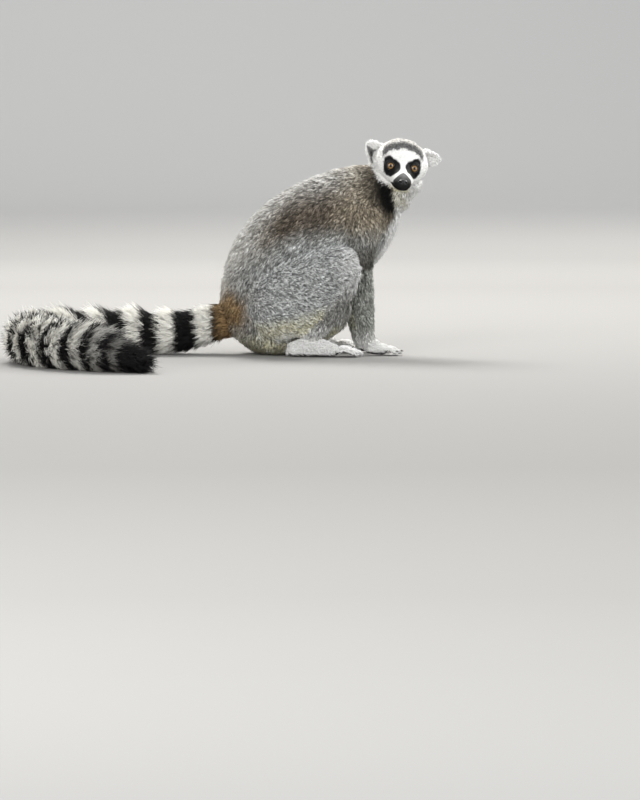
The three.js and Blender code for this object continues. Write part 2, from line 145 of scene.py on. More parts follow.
# Short cores of wrist and ankle: start, end, radius (mm), and whether they are of an arm.
LINKS = (
    (WRIST, (0.139, -0.027, 0.0105), 7.0, True), (WRIST, (0.126, -0.028, 0.045), 7.6, True),
    (ANKLE, (0.034, -0.056, 0.011), 6.8, False), (ANKLE, (0.068, -0.057, 0.0125), 7.6, False),
)
# Nail places of a right limb, metres: where the digit ends, and where it comes from.
DIGIT_ENDS = {
    "hand": (((0.111, -0.011), (0.098, -0.020)), ((0.123, -0.016), (0.107, -0.0205)),
             ((0.1285, -0.0238), (0.108, -0.025)), ((0.129, -0.0313), (0.108, -0.0295)),
             ((0.123, -0.039), (0.106, -0.0338))),
    "foot": (((0.042, -0.037), (0.018, -0.050)), ((0.066, -0.046), (0.043, -0.050)),
             ((0.073, -0.0535), (0.045, -0.055)), ((0.075, -0.062), (0.045, -0.061)),
             ((0.070, -0.0705), (0.043, -0.066))),
}
NAIL_HALF = {"hand": 0.0017, "foot": 0.0019}
NAIL_AHEAD, NAIL_HEIGHT = 0.0026, 0.0062
NAIL_TAPER, NAIL_THICKNESS, NAIL_DROOP, NAIL_CURVE = 0.35, 0.35, 0.22, 0.18
SHIFT_X = 0.040                  # the solids' own origin, forward of the seat

# Tail, mm: its length, headings at even stations (degrees), and the middles of its pale rings.
TAIL_ROOT = (-0.036, 0.0)        # metres
TAIL_LENGTH = 597.0
TAIL_HEADINGS = (0, 2, 9, 24, 46, 71, 96, 118, 134, 144, 149)
RING_CENTRES = (42, 90, 137, 189, 243, 294, 343, 389, 430, 468, 501, 528, 551)
RING_STRENGTHS = (1, 1, 1, 1, 1, 1, 1, 1, 1, 1, 0.75, 0.4, 0.2)
RING_SHARE = 0.20                # half width of a pale ring, as a share of the ring spacing
TAIL_DEPTH = ((0, 5.0), (35, 7.0), (90, 11.0))
TAIL_HAIR = ((0, 11), (35, 15), (90, 21), (300, 23), (520, 25), (600, 24))

# Trunk, metres. Over the height: how far the throat is drawn in (mm), the front edge of the
# coloured fur, and the reach of the dark ruff behind that edge, partly dark fur and partly
# painted shade under the head. Along the body: the height of the top of the grey flank, and of
# the pale hem of the thigh.
THROAT_HOLLOW = ((0.160, 0), (0.178, 3), (0.187, 8), (0.197, 7), (0.205, 6), (0.212, 2.5), (0.219, 0))
FRONT_EDGE = ((0.100, 0.120), (0.1165, 0.130), (0.142, 0.145), (0.158, 0.152), (0.173, 0.1575),
              (0.190, 0.1625), (0.213, 0.162))
RUFF_SHADE_REACH = ((0.150, 0.004), (0.165, 0.009), (0.180, 0.018), (0.200, 0.034), (0.220, 0.042))
FLANK_TOP = ((-0.06, 0.098), (-0.04, 0.108), (-0.008, 0.129), (0.024, 0.145), (0.049, 0.160), (0.110, 0.158))
THIGH_HEM = ((-0.04, 0.030), (-0.02, 0.038), (0.01, 0.042), (0.04, 0.048), (0.072, 0.058))
CREASE_DEPTH = 5.0               # mm, of the fold over the thigh
CORE_ROUNDS = 14                 # of evening out where the solids join
CORE_SOFTNESS = {"head": 0.2, "muzzle": 0.1, "forearm": 0.35, "tail": 0.4}

JOIN_GROWTH = 0.0004             # the solids grow by this, so that they meet
EYE_PULL, HAND_PULL, FOOT_PULL = -0.0012, -0.0010, -0.0011
SKIN_LOWEST, TUFT_LOWEST = 0.0003, 0.0004

# Coat of each part: length, depth from skin to tips, half width (mm), and the lift of its first
# and second half off the skin (degrees).
COAT = {
    "chest": (8.5, 4.6, 0.36, 40, 17),
    "neck": (9.0, 6.6, 0.38, 40, 17),
    "loin": (9.0, 4.7, 0.39, 40, 17),
    "rump": (9.5, 4.8, 0.41, 40, 17),
    "thigh": (7.8, 4.2, 0.37, 39, 17),
    "shank": (7.5, 2.9, 0.38, 34, 14),
    "upper_arm": (8.5, 3.6, 0.40, 38, 16),
    "forearm": (6.5, 2.4, 0.34, 32, 12),
    "hand": (4.2, 1.2, 0.27, 26, 10),
    "foot": (6.0, 1.6, 0.30, 30, 12),
    "head": (6.5, 2.8, 0.32, 36, 15),
    "muzzle": (1.5, 0.6, 0.20, 20, 8),
    "ear": (6.0, 1.4, 0.28, 28, 12),
    "tail": (16.5, 11.0, 0.54, 46, 23),
}
COAT_TABLE = np.array([COAT[name] for name in KINDS], dtype=float)
LENGTH, DEPTH, WIDTH, LIFTS = 0, 1, 2, slice(3, 5)

# Parts of each piece of coat, its tufts to the square mm, the size of its clumps (mm), how much
# they close up, how far its small clumps turn aside, how much they differ in tone, and its slot.
COAT_PIECES = {
    "coat_chest": (("chest", "neck"), 1.16, 5.6, 0.20, 0.8, 1.6, "coat_brown_grey"),
    "coat_loin": (("loin",), 1.0, 5.8, 0.20, 0.9, 1.6, "coat_brown_grey"),
    "coat_leg_left": (("thigh_left", "shank_left"), 1.06, 5.0, 0.20, 1.5, 1.35, "coat_grey"),
    "coat_leg_right": (("thigh_right", "shank_right"), 1.08, 5.0, 0.20, 1.5, 1.35, "coat_grey"),
    "coat_rump": (("rump",), 1.0, 5.2, 0.20, 1.2, 1.4, "coat_grey"),
    "coat_arms": (("upper_arm", "forearm"), 1.2, 4.8, 0.20, 0.8, 1.3, "coat_grey"),
    "coat_hands_feet": (("hand", "foot"), 1.3, 3.0, 0.20, 0.8, 1.6, "coat_white"),
    "coat_head": (("head", "muzzle", "ear"), 2.2, 4.0, 0.20, 0.7, 1.3, "coat_white"),
    "coat_tail_root": (("tail_1", "tail_2"), 0.92, 7.5, 0.28, 0.8, 1.3, "coat_black"),
    "coat_tail_middle": (("tail_3", "tail_4"), 0.95, 7.5, 0.28, 0.8, 1.3, "coat_black"),
    "coat_tail_tip": (("tail_5", "tail_6"), 1.1, 7.5, 0.28, 0.8, 1.3, "coat_black"),
}
MOST_TUFTS = 33000               # in one piece of coat
FINE_CLUMP = 0.34                # size of the small clumps beside the large ones
FINE_CLOSING = 0.7               # how much the small clumps close up

# How tufts differ, by noise, with their small clump and each by chance.
SWAY_NOISE, SWAY_CHANCE = 0.35, 0.12
LENGTH_CLUMP, LENGTH_CHANCE, LENGTH_LIMITS = 0.4, 0.13, (0.55, 1.5)
WIDTH_LIMITS = (0.7, 1.3)
LIFT_NOISE, LIFT_CLUMP, LIFT_CHANCE = 0.2, 0.6, 0.10
BEND_CLUMP, LOWER_BEND, UPPER_BEND = 0.6, 0.06, 0.12
TONE_NOISE, TONE_CHANCE = 0.12, 0.30
DARK_TUFTS, DARK_BY = 0.16, 0.55
PLAIN_TONE, PLAIN_CONTRAST = 0.14, 0.42      # of fur without grizzling, beside grizzled fur
# tufts in the fold over the thigh are shorter, and darkened by painted shade
FOLD_SHORTER, FOLD_SHADE = 0.35, 0.72
SEEDS = {"trunk": 11, "trunk_fine": 12, "limb": 14, "head": 21, "head_fine": 22, "tail": 31,
         "sway": 3, "lift": 5, "tone": 8, "clump": 41, "fine_clump": 61}

# A tuft is a closed lock: a buried point, a ring of three, and its tip.
BURIED = 0.0005
LOWER, UPPER = 0.48, 0.52        # shares of its length below and above the ring
LOWER_PULL, UPPER_PULL = 0.4, 0.6
RING = ((-1.0, -0.25), (0.0, 0.7), (1.0, -0.25))    # across and up, in half widths
TUFT_FACES = np.array([(0, 2, 1), (0, 3, 2), (0, 1, 3), (4, 1, 2), (4, 2, 3), (4, 3, 1)])
# lightness from the buried point to the tip: painted shade deep in the coat, and the pale banded tip of the
# hair
TUFT_SHADES = np.array((-0.62, -0.17, -0.07, -0.17, 0.52))
TUFT_SPOTS = np.array(((0.0, -1.0), (-1.0, 0.0), (0.0, 0.2), (1.0, 0.0), (0.0, 1.0)))
UV_PATCH = 0.0015                # half the size of a tuft's own patch of the bake
UV_EDGE = 0.002

# Lamps: place, aim, size and colour. The studio's settings hold their power.
SUBJECT = (0.03, 0.0, 0.12)
SKY_COLOUR, SKY_STRENGTH = (0.86, 0.88, 0.9, 1.0), 0.7
LAMPS = {
    "key": ((-1.2, -3.0, 1.5), SUBJECT, 1.8, (1.0, 0.985, 0.96)),
    "fill": ((3.1, -3.1, 1.15), SUBJECT, 2.6, (0.96, 0.98, 1.0)),
    "rim": ((-0.6, 1.7, 2.4), SUBJECT, 1.4, (1.0, 0.98, 0.95)),
    "edge": ((2.3, 1.8, 2.5), SUBJECT, 1.6, (1.0, 0.98, 0.95)),
    "wall": ((0.0, 2.9, 3.4), (0.0, 6.5, 0.6), 2.6, (1.0, 1.0, 1.0)),
}
VIEW_X, VIEW_Z = 0.066, -0.0598  # what the camera aims at
# The floor and backdrop: distance from the lemur, metres, and grey there, 0 to 255.
FLOOR_GREYS = ((1.6, 134), (2.6, 149), (3.0, 161), (3.4, 175), (3.93, 190), (4.5, 203), (5.0, 212),
               (7.0, 214))
FLOOR_REACH = 7.0
FLOOR_NARROWING = 0.5            # sideways distance counts this much


# ------------------------------------------------------------------ settings
def srgb(*screen):
    """A colour written in the 0 to 255 of a screen, as linear light."""
    shares = [value / 255 for value in screen]
    return tuple(v / 12.92 if v <= 0.04045 else ((v + 0.055) / 1.055) ** 2.4 for v in shares)


def tone(label, colour, note):
    return FloatVectorProperty(name=label, description=note, default=srgb(*colour), size=3,
                               subtype="COLOR", min=0.0, max=1.0)


def size(label, metres, note, least=0.001):
    return FloatProperty(name=label, description=note, default=metres, unit="LENGTH", min=least)


def angle(label, degrees, note):
    return FloatProperty(name=label, description=note, default=math.radians(degrees), subtype="ANGLE")


def factor(label, default, note, least, most):
    return FloatProperty(name=label, description=note, default=default, min=least, max=most, subtype="FACTOR")


def power(label, watts, note):
    return FloatProperty(name=label, description=note, default=watts, unit="POWER")


class LemurCoat(bpy.types.PropertyGroup):
    """Colours and build of the coat."""

    back: tone("Back", (108, 99, 88), "Grizzled brown-grey of the back")
    shoulder: tone("Shoulder", (166, 155, 136), "Warmer grey over the shoulders")
    loin: tone("Loin", (232, 228, 219), "Pale warm grey of the lower back")
    grey: tone("Grey", (180, 182, 180), "Light grey of thighs and flanks")
    # Silver: silvery grizzle, lightened as painted light from above and behind on the top of the back and
    # crown
    silver_top_light: tone("Silver", (226, 224, 218), "Silvery hair of the crown and the line of the back")
    arm: tone("Arm", (166, 168, 161), "Grey of the arms")
    rump: tone("Rump", (154, 126, 88), "Brown patch above the tail")
    white: tone("White", (247, 246, 243), "Face, ears, hands and feet")
    cream: tone("Cream", (232, 226, 190), "Belly, throat and inner limbs")
    # Ruff: dark neck fur, made darker still as painted shade under the head
    ruff: tone("Ruff", (9, 9, 9), "Dark fur at the sides of the neck")
    crown: tone("Crown", (92, 92, 92), "Grey cap of the head")
    black: tone("Black", (15, 14, 14), "Eye patches and dark tail rings")
    ring: tone("Ring", (236, 234, 226), "Pale tail rings")
    # Bridge: grey short-haired skin of the muzzle's top, lightened by a painted sheen
    bridge: tone("Bridge", (118, 118, 117), "Pale skin along the top of the muzzle")
    sole: tone("Sole", (48, 44, 42), "Bare skin of palms and soles")
    fullness: factor("Fullness", 1.0, "Share of the planned tufts that are made", 0.05, 1.2)
    seed: IntProperty(name="Seed", description="Start of the random placing of tufts", default=7, min=0)


TONES = [name for name in LemurCoat.__annotations__ if name not in ("fullness", "seed")]


class LemurBody(bpy.types.PropertyGroup):
    """Sizes of the skin and of the bare features."""

    union_voxel: size("Joining Grain", 0.0024, "Grain at which the parts are joined")
    skin_voxel: size("Skin Grain", 0.0017, "Grain of the finished skin")
    kept_faces: factor("Kept Faces", 0.62, "Share of the skin's faces that is kept", 0.1, 1.0)
    aperture: angle("Eye Opening", 36.5, "Half angle of the opening of the lids")
    nail_length: size("Nail Length", 0.0042, "Length of a finger nail")


class LemurStudio(bpy.types.PropertyGroup):
    """Camera, lamps and floor."""

    floor: tone("Floor", (140, 139, 137), "Paint of the floor and backdrop")
    distance: size("Camera Distance", 6.0, "Distance from camera to lemur", 1.0)
    elevation: angle("Camera Elevation", 4.5, "Height angle of the camera")
    view_height: size("View Height", 1.04, "Height seen at the lemur", 0.1)
    key: power("Key Lamp", 64.0, "Power of the main lamp")
    fill: power("Fill Lamp", 98.0, "Power of the fill lamp")
    rim: power("Rim Lamp", 134.0, "Power of the lamp behind")
    edge: power("Edge Lamp", 125.0, "Power of the lamp behind the breast")
    wall: power("Backdrop Lamp", 16.0, "Power of the lamp on the backdrop")


# ------------------------------------------------------------------ arrays and fields
def fade(low, high, x):
    """0 up to low and 1 from high on, smooth between; low may be the greater."""
    t = np.clip((x - low) / (high - low), 0.0, 1.0)
    return t * t * (3.0 - 2.0 * t)


def bump(x, centre, spread_by):
    """1 at the centre, falling off to both sides."""
    return np.exp(-((x - centre) / spread_by) ** 2)


def from_table(table, x):
    """The value at each x, between the rows of a table of places and values."""
    return np.interp(x, *np.array(table, dtype=float).T)


def unit(vectors):
    return vectors / np.maximum(np.linalg.norm(vectors, axis=-1, keepdims=True), 1e-12)


def mix(a, b, t):
    t = np.asarray(t)[..., None] if np.ndim(a) > np.ndim(t) or np.ndim(b) > np.ndim(t) else t
    return a * (1.0 - t) + b * t


def along_surface(vectors, normals):
    """The part of each vector that lies in the surface."""
    return vectors - normals * (vectors * normals).sum(axis=1, keepdims=True)


def hashed(ix, iy, iz, seed):
    """A repeatable number from 0 to 1 for each lattice point."""
    h = (ix * 73856093) ^ (iy * 19349663) ^ (iz * 83492791) ^ (seed * 2654435761)
    h = (h ^ (h >> 13)) * 1274126177
    h = (h ^ (h >> 16)) & 0xFFFFFF
    return h / float(0xFFFFFF)


def noise(points, scale, seed):
    """Smooth noise from -1 to 1 over points, with lumps about `scale` across."""
    q = points / scale
    base = np.floor(q).astype(np.int64)
    f = q - base
    f = f * f * (3.0 - 2.0 * f)
    total = np.zeros(len(points))
    for corner in product((0, 1), repeat=3):
        total += np.where(corner, f, 1.0 - f).prod(axis=1) * hashed(*(base + corner).T, seed)
    return total * 2.0 - 1.0


def clumps(points, scale, seed):
    """The way from each point to the nearest of many scattered centres, and its four numbers."""
    cell = np.floor(points / scale).astype(np.int64)
    best = np.full(len(points), np.inf)
    pull = np.zeros_like(points)
    numbers = np.zeros((len(points), 4))
    for step in product((-1, 0, 1), repeat=3):
        at = (cell + step).T
        jitter = np.stack([hashed(*at, seed + axis) for axis in range(3)], axis=1)
        centre = (at.T + jitter) * scale
        gap = ((centre - points) ** 2).sum(axis=1)
        closer = gap < best
        best[closer] = gap[closer]
        pull[closer] = (centre - points)[closer]
        for column in range(4):
            numbers[closer, column] = hashed(*at, seed + 5 + column)[closer]
    return pull, numbers


def head_space(points):
    """Forward, left and up from the head centre, in millimetres."""
    return (points - HEAD_CENTRE) @ HEAD_AXES.T / MM


def from_head(points):
    return HEAD_CENTRE + (np.asarray(points, dtype=float) * MM) @ HEAD_AXES


def side_sign(side):
    return 1.0 if side == "left" else -1.0


def mirrored(point, side, arm=False):
    """A point of a right limb, carried over to the limb of that side."""
    if side == "right":
        return np.array(point)
    return np.array((point[0] - (LEFT_ARM_BACK if arm else 0.0), -point[1], point[2]))


def along_tail(points):
    """Distance down the tail in millimetres, and the way it runs there, for each point."""
    stations = np.linspace(0, TAIL_LENGTH, len(TAIL_HEADINGS))
    s = np.arange(0.0, TAIL_LENGTH + 16.0)
    heading = np.radians(np.interp(s, stations, TAIL_HEADINGS))
    steps = np.stack((-np.cos(heading), -np.sin(heading)), axis=1) * MM
    middle = np.array(TAIL_ROOT) + np.concatenate((np.zeros((1, 2)), np.cumsum(steps, axis=0)[:-1]))
    ways = steps / MM
    nearest = np.empty(len(points), dtype=int)
    for start in range(0, len(points), 4000):
        block = points[start:start + 4000, None, :2] - middle[None, ::2]
        nearest[start:start + 4000] = 2 * np.argmin((block ** 2).sum(axis=2), axis=1)
    way = np.concatenate((ways[nearest], np.zeros((len(points), 1))), axis=1)
    slip = ((points[:, :2] - middle[nearest]) * ways[nearest]).sum(axis=1) / MM
    return s[nearest] + slip, way


# ------------------------------------------------------------------ meshes
def object_from(data, name):
    piece = bpy.data.objects.new(name, data)
    bpy.context.scene.collection.objects.link(piece)
    return piece


def mesh_of(bm, name):
    mesh = bpy.data.meshes.new(name)
    bm.to_mesh(mesh)
    bm.free()
    return mesh


def absorb(bm, mesh):
    """Moves a mesh into a bmesh."""
    bm.from_mesh(mesh)
    bpy.data.meshes.remove(mesh)


def piece_of(bm, name, material):
    """A finished bmesh as an object, its faces smooth and outward."""
    bmesh.ops.recalc_face_normals(bm, faces=bm.faces)
    for face in bm.faces:
        face.smooth = True
    mesh = mesh_of(bm, name)
    mesh.materials.append(material)
    return object_from(mesh, name)


def read(items, name, columns=1, dtype=np.float64):
    """One value or row for each item of a mesh, as an array."""
    values = np.empty(len(items) * columns, dtype=dtype)
    items.foreach_get(name, values)
    return values.reshape(-1, columns) if columns > 1 else values


def vertex_array(mesh):
    return read(mesh.vertices, "co", 3)


def normal_array(mesh):
    return read(mesh.vertex_normals, "vector", 3)


def edge_array(mesh):
    return read(mesh.edges, "vertices", 2, np.int32)


def place_vertices(mesh, places):
    mesh.vertices.foreach_set("co", np.ascontiguousarray(places, dtype=np.float64).ravel())
    mesh.update()


def move_vertices(bm, places):
    for vertex, place in zip(bm.verts, places):
        vertex.co = place


def smooth_faces(mesh):
    mesh.polygons.foreach_set("use_smooth", np.ones(len(mesh.polygons), dtype=bool))


def add_colours(mesh, colours):
    layer = mesh.color_attributes.new("marking", "FLOAT_COLOR", "POINT")
    rgba = np.ones((len(colours), 4), dtype=np.float32)
    rgba[:, :3] = np.clip(colours, 0, 1)
    layer.data.foreach_set("color", rgba.ravel())


def spread(values, edges, rounds, weight=0.5):
    """Evens out values over a mesh: each round moves every vertex towards its neighbours."""
    count = len(values)
    flat = values.reshape(count, -1).astype(float)
    degree = np.maximum(np.bincount(edges.ravel(), minlength=count).astype(float), 1.0)
    weight = weight if np.ndim(weight) == 0 else weight[:, None]
    for _ in range(rounds):
        around = np.empty_like(flat)
        for k, column in enumerate(flat.T):
            total = np.bincount(edges[:, 0], weights=column[edges[:, 1]], minlength=count)
            total += np.bincount(edges[:, 1], weights=column[edges[:, 0]], minlength=count)
            around[:, k] = total / degree
        flat += (around - flat) * weight
    return flat.reshape(values.shape)


def add_grown(whole, names, push):
    """Adds the named solids to a bmesh, each pushed outward, in metres."""
    for name in names:
        part = bmesh.new()
        part.from_mesh(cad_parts[name].data)
        bmesh.ops.remove_doubles(part, verts=part.verts, dist=1e-6)
        part.normal_update()
        for vertex in part.verts:
            vertex.co += vertex.normal * (push * min(vertex.calc_shell_factor(), 1.6))
        absorb(whole, mesh_of(part, "part"))


def modified(mesh, name, kind_of, group=None, **settings):
    """The mesh put through one modifier, with the old mesh gone."""
    holder = object_from(mesh, "holder")
    modifier = holder.modifiers.new("Modifier", kind_of)
    if group is not None:
        holder.vertex_groups.new(name="group").add(group, 1.0, "REPLACE")
        modifier.vertex_group = "group"
    for key, value in settings.items():
        setattr(modifier, key, value)
    made = bpy.data.meshes.new_from_object(holder.evaluated_get(bpy.context.evaluated_depsgraph_get()))
    bpy.data.objects.remove(holder)
    bpy.data.meshes.remove(mesh)
    made.name = name
    return made


def voxel_mesh(bm, voxel, name):
    """The bmesh remade as one even surface."""
    return modified(mesh_of(bm, name), name, "REMESH", mode="VOXEL", voxel_size=voxel, adaptivity=0.0)


@lru_cache(maxsize=1)
def solids_tree():
    """All the solids of flesh for finding the nearest, and which solid each face belongs to."""
    vertices, triangles, owner = [], [], []
    for index, name in enumerate(FLESH):
        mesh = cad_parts[name].data
        start = len(vertices)
        vertices.extend(v.co.copy() for v in mesh.vertices)
        triangles.extend([start + i for i in polygon.vertices] for polygon in mesh.polygons)
        owner.extend([index] * len(mesh.polygons))
    return BVHTree.FromPolygons(vertices, triangles), owner


def regions_of(points):
    """The solid each point is nearest to, as an index in FLESH."""
    tree, owner = solids_tree()
    return np.array([owner[tree.find_nearest(p)[2]] for p in points.tolist()])


# ------------------------------------------------------------------ the skin
def skull_row(forward):
    """Height, half width and half height of the head at each forward distance, mm."""
    f = np.clip(forward, SKULL[0, 0], SKULL[-1, 0])
    i = np.clip(np.searchsorted(SKULL[:, 0], f) - 1, 0, len(SKULL) - 2)
    t = ((f - SKULL[i, 0]) / (SKULL[i + 1, 0] - SKULL[i, 0]))[:, None]
    a, d = SKULL[np.maximum(i - 1, 0), 1:], SKULL[np.minimum(i + 2, len(SKULL) - 1), 1:]
    b, c = SKULL[i, 1:], SKULL[i + 1, 1:]
    return (b + 0.5 * ((c - a) * t + (2 * a - 5 * b + 4 * c - d) * t ** 2
                       + (3 * b - a - 3 * c + d) * t ** 3)).T


def face_depth(forward):
    """Depth of the coat over the head, from long on the cheeks to nearly bare on the muzzle."""
    return from_table(FACE_DEPTH, forward)


def body_core():
    """Trunk, neck, head, limbs and tail joined, softened and pulled in by the coat's depth."""
    whole = bmesh.new()
    add_grown(whole, [name for name in FLESH if kind(name) not in (*PAWS, "ear")], JOIN_GROWTH)
    add_grown(whole, [f"eye_{side}" for side in SIDES], EYE_PULL)
    mesh = voxel_mesh(whole, bpy.context.scene.lemur_body.union_voxel, "core")
    places, edges = vertex_array(mesh), edge_array(mesh)
    region = regions_of(places)
    names = KINDS[region]
    softness = np.array([CORE_SOFTNESS.get(name, 0.5) for name in KINDS])
    places = spread(places, edges, CORE_ROUNDS, softness[region])
    place_vertices(mesh, places)
    normals = unit(spread(normal_array(mesh), edges, 4))
    depth = np.where(np.isin(names, FACE), face_depth(head_space(places)[:, 0]), COAT_TABLE[region, DEPTH])
    depth = np.where(names == "tail", from_table(TAIL_DEPTH, along_tail(places)[0]), depth)
    depth = spread(depth, edges, 8)
    places = places - normals * depth[:, None] * MM
    places = places - normals * crease(region, places, edges)[:, None] * CREASE_DEPTH * MM
    throat = from_table(THROAT_HOLLOW, places[:, 2]) * MM
    places[:, 0] -= throat * fade(0.130, 0.165, places[:, 0])
    place_vertices(mesh, places)
    return mesh


def crease(region, places, edges):
    """Strength, 0 to 1, of the fold where the top of each thigh meets the flank."""
    blend = spread((KINDS[region] == "thigh").astype(float), edges, 5)
    fold = bump(blend, 0.40, 0.16) * (blend > 0.02)
    return fold * fade(0.075, 0.105, places[:, 2]) * fade(-0.02, 0.02, places[:, 0])


def wrist_and_ankle(bm):
    """Short cores that carry the limbs into hands and feet."""
    for (start, end, radius, arm), side in product(LINKS, SIDES):
        a, b = mirrored(start, side, arm), mirrored(end, side, arm)
        for t in np.linspace(0, 1, 5):
            bmesh.ops.create_icosphere(bm, subdivisions=3, radius=radius * MM,
                                       matrix=Matrix.Translation(a * (1 - t) + b * t))


def ear_axes(side):
    """Root, length and the three ways of an ear in head axes: along, across, open."""
    root, tip, opens = (np.array(v, dtype=float) for v in EARS_AT[side])
    length = np.linalg.norm(tip - root)
    along = (tip - root) / length
    opens = unit(opens - along * (opens @ along))
    return root, length, along, np.cross(along, opens), opens


def ear_cup(a, b, side):
    """Half width of an ear at a share of its length, and how far its surface stands open there."""
    stations = np.linspace(0, 1, len(EAR_BEHIND))
    width = np.where(b > 0, np.interp(a, stations, EAR_FRONT[side]), np.interp(a, stations, EAR_BEHIND))
    return width, from_table(EAR_LIFT, a) * b * b - EAR_SET_IN + EAR_OPENING * a * a


def ear_shell(side):
    """A cupped leaf, thick enough to join the skin."""
    root, length, along, across, opens = ear_axes(side)
    bm = bmesh.new()
    bmesh.ops.create_grid(bm, x_segments=26, y_segments=26, size=1.0)
    for vertex in bm.verts:
        a, b = (vertex.co.x + 1) / 2, vertex.co.y
        width, lift = ear_cup(a, b, side)
        place = root + along * (length * a) + across * (width * math.sin(b * math.pi / 2)) + opens * lift
        vertex.co = from_head(place)
    bm.normal_update()
    bmesh.ops.solidify(bm, geom=bm.faces[:], thickness=EAR_THICKNESS * MM)
    bmesh.ops.recalc_face_normals(bm, faces=bm.faces)
    return mesh_of(bm, f"ear_shell_{side}")


def ear_space(local, side):
    """Shares of an ear's length and half width at each point, and the height over its cup, mm."""
    root, length, along, across, opens = ear_axes(side)
    rel = local - root
    a, beside = (rel @ along) / length, rel @ across
    b = beside / ear_cup(a, beside, side)[0]
    return a, b, rel @ opens - ear_cup(a, np.clip(b, -1, 1), side)[1]


def in_ear(local, side):
    """How far each point belongs to an ear, from 0 to 1."""
    a, b, h = ear_space(local, side)
    return fade(-0.05, 0.12, a) * fade(1.35, 1.10, np.abs(b)) * fade(-7.0, -4.5, h) * fade(9.0, 6.5, h)


def in_ears(local):
    return np.maximum(*(in_ear(local, side) for side in SIDES))


def skin_mesh():
    """The core joined to hands, feet and ears, thinned where plain and split over the face."""
    whole = bmesh.new()
    absorb(whole, body_core())
    for part, pull in zip(PAWS, (HAND_PULL, FOOT_PULL)):
        add_grown(whole, [f"{part}_{side}" for side in SIDES], pull)
    for side in SIDES:
        absorb(whole, ear_shell(side))
    wrist_and_ankle(whole)
    sizes = bpy.context.scene.lemur_body
    mesh = voxel_mesh(whole, sizes.skin_voxel, "skin")
    places = vertex_array(mesh)
    names = KINDS[regions_of(places)]
    places = spread(places, edge_array(mesh), 5, np.where(np.isin(names, (*PAWS, "ear")), 0.25, 0.5))
    place_vertices(mesh, places)
    plain = np.flatnonzero(~np.isin(names, (*PAWS, *FACE, "ear"))).tolist()
    mesh = modified(mesh, "skin", "DECIMATE", plain, ratio=sizes.kept_faces)
    return refined(mesh)


def refined(mesh):
    """Splits the edges of the face, which carries the smallest shapes."""
    places = vertex_array(mesh)
    fine = np.isin(KINDS[regions_of(places)], FACE) & (head_space(places)[:, 0] > BROW_START)
    bm = bmesh.new()
    bm.from_mesh(mesh)
    edges = [e for e in bm.edges if fine[e.verts[0].index] and fine[e.verts[1].index]]
    bmesh.ops.subdivide_edges(bm, edges=edges, cuts=1, use_grid_fill=True, smooth=0.6)
    bmesh.ops.triangulate(bm, faces=[f for f in bm.faces if len(f.verts) > 4])
    bm.to_mesh(mesh)
    bm.free()
    return mesh


def eye_pose(side):
    """Centre of an eye in head axes, mm, and the way it looks."""
    sign = side_sign(side)
    gaze = (math.cos(GAZE_OUT) * math.cos(GAZE_UP), sign * math.sin(GAZE_OUT), math.sin(GAZE_UP))
    return np.array((EYE_AT[0], sign * EYE_AT[1], EYE_AT[2])), np.array(gaze)


def shape_face(mesh):
    """Gives the head its true rounds, then mouth line, chin, cheek hollows and lids, on the skin."""
    places, edges = vertex_array(mesh), edge_array(mesh)
    on_face = np.isin(KINDS[regions_of(places)], FACE).astype(float)
    weight = np.clip(spread(on_face, edges, 7) * 2.2 - 1.2, 0, 1)
    local = head_space(places)
    f = local[:, 0]
    height, width, tall = skull_row(f)
    depth = face_depth(f)
    across, above = local[:, 1], local[:, 2] - height
    turn = np.arctan2(above / tall, across / width)
    jaw = 1.0 - 0.06 * fade(-0.05, 0.85, -np.sin(turn)) * fade(34, 22, f)
    square = 1.0 - 0.22 * fade(0.0, 0.3, -np.sin(turn)) * fade(31, 38, f)
    turn_x, turn_z = (np.sign(way) * np.abs(way) ** square for way in (np.cos(turn), np.sin(turn)))
    target = np.stack((f, turn_x * np.maximum(width - depth, 1.0) * jaw,
                       turn_z * np.maximum(tall - depth, 1.0) + height), axis=1)
    gap = np.linalg.norm(target - local, axis=1)
    outside = np.hypot(across / (width - depth + 0.1), above / (tall - depth + 0.1)) > 1
    on_skull = weight * fade(56.5, 54.0, f) * np.where(outside, fade(6.0, 3.8, gap), 1.0)
    local = brow_and_mouth(mix(local, target, on_skull), on_skull)
    for side in SIDES:
        local = lids(local, side, weight)
    place_vertices(mesh, from_head(local))


def brow_and_mouth(local, weight):
    f, l, u = local.T
    height, width, tall = skull_row(f)
    out = np.stack((np.zeros(len(f)), l / np.maximum(width, 1), (u - height) / np.maximum(tall, 1)), axis=1)
    line = from_table(MOUTH_LINE, f)
    groove = bump(u, line, 0.8) * fade(33, 37, f)
    below = fade(0.3, -1.2, u - line) * fade(36, 42, f)
    cheek = np.exp(-((np.abs(l) - 12.5) / 5.0) ** 2 - ((f - 33) / 5.0) ** 2 - ((u + 10) / 5.0) ** 2)
    return local + unit(out) * ((-0.75 * groove - 0.6 * below - 1.0 * cheek) * weight)[:, None]


def lids(local, side, weight):
    """Presses the skin on to the eyeball and opens it to a round slit."""
    centre, gaze = eye_pose(side)
    edge = bpy.context.scene.lemur_body.aperture
    rel = local - centre
    reach, way = np.linalg.norm(rel, axis=1), unit(rel)
    off = np.arccos(np.clip(way @ gaze, -1, 1))
    closed = fade(edge - LID_EDGE, edge, off)
    wanted = mix(EYE_RADIUS - SOCKET_DEPTH, EYE_RADIUS + LID_THICKNESS, closed)
    blend = fade(LID_TO, LID_FROM, off) * fade(15.0, 12.0, reach) * weight
    return centre + way * mix(reach, wanted, blend)[:, None]


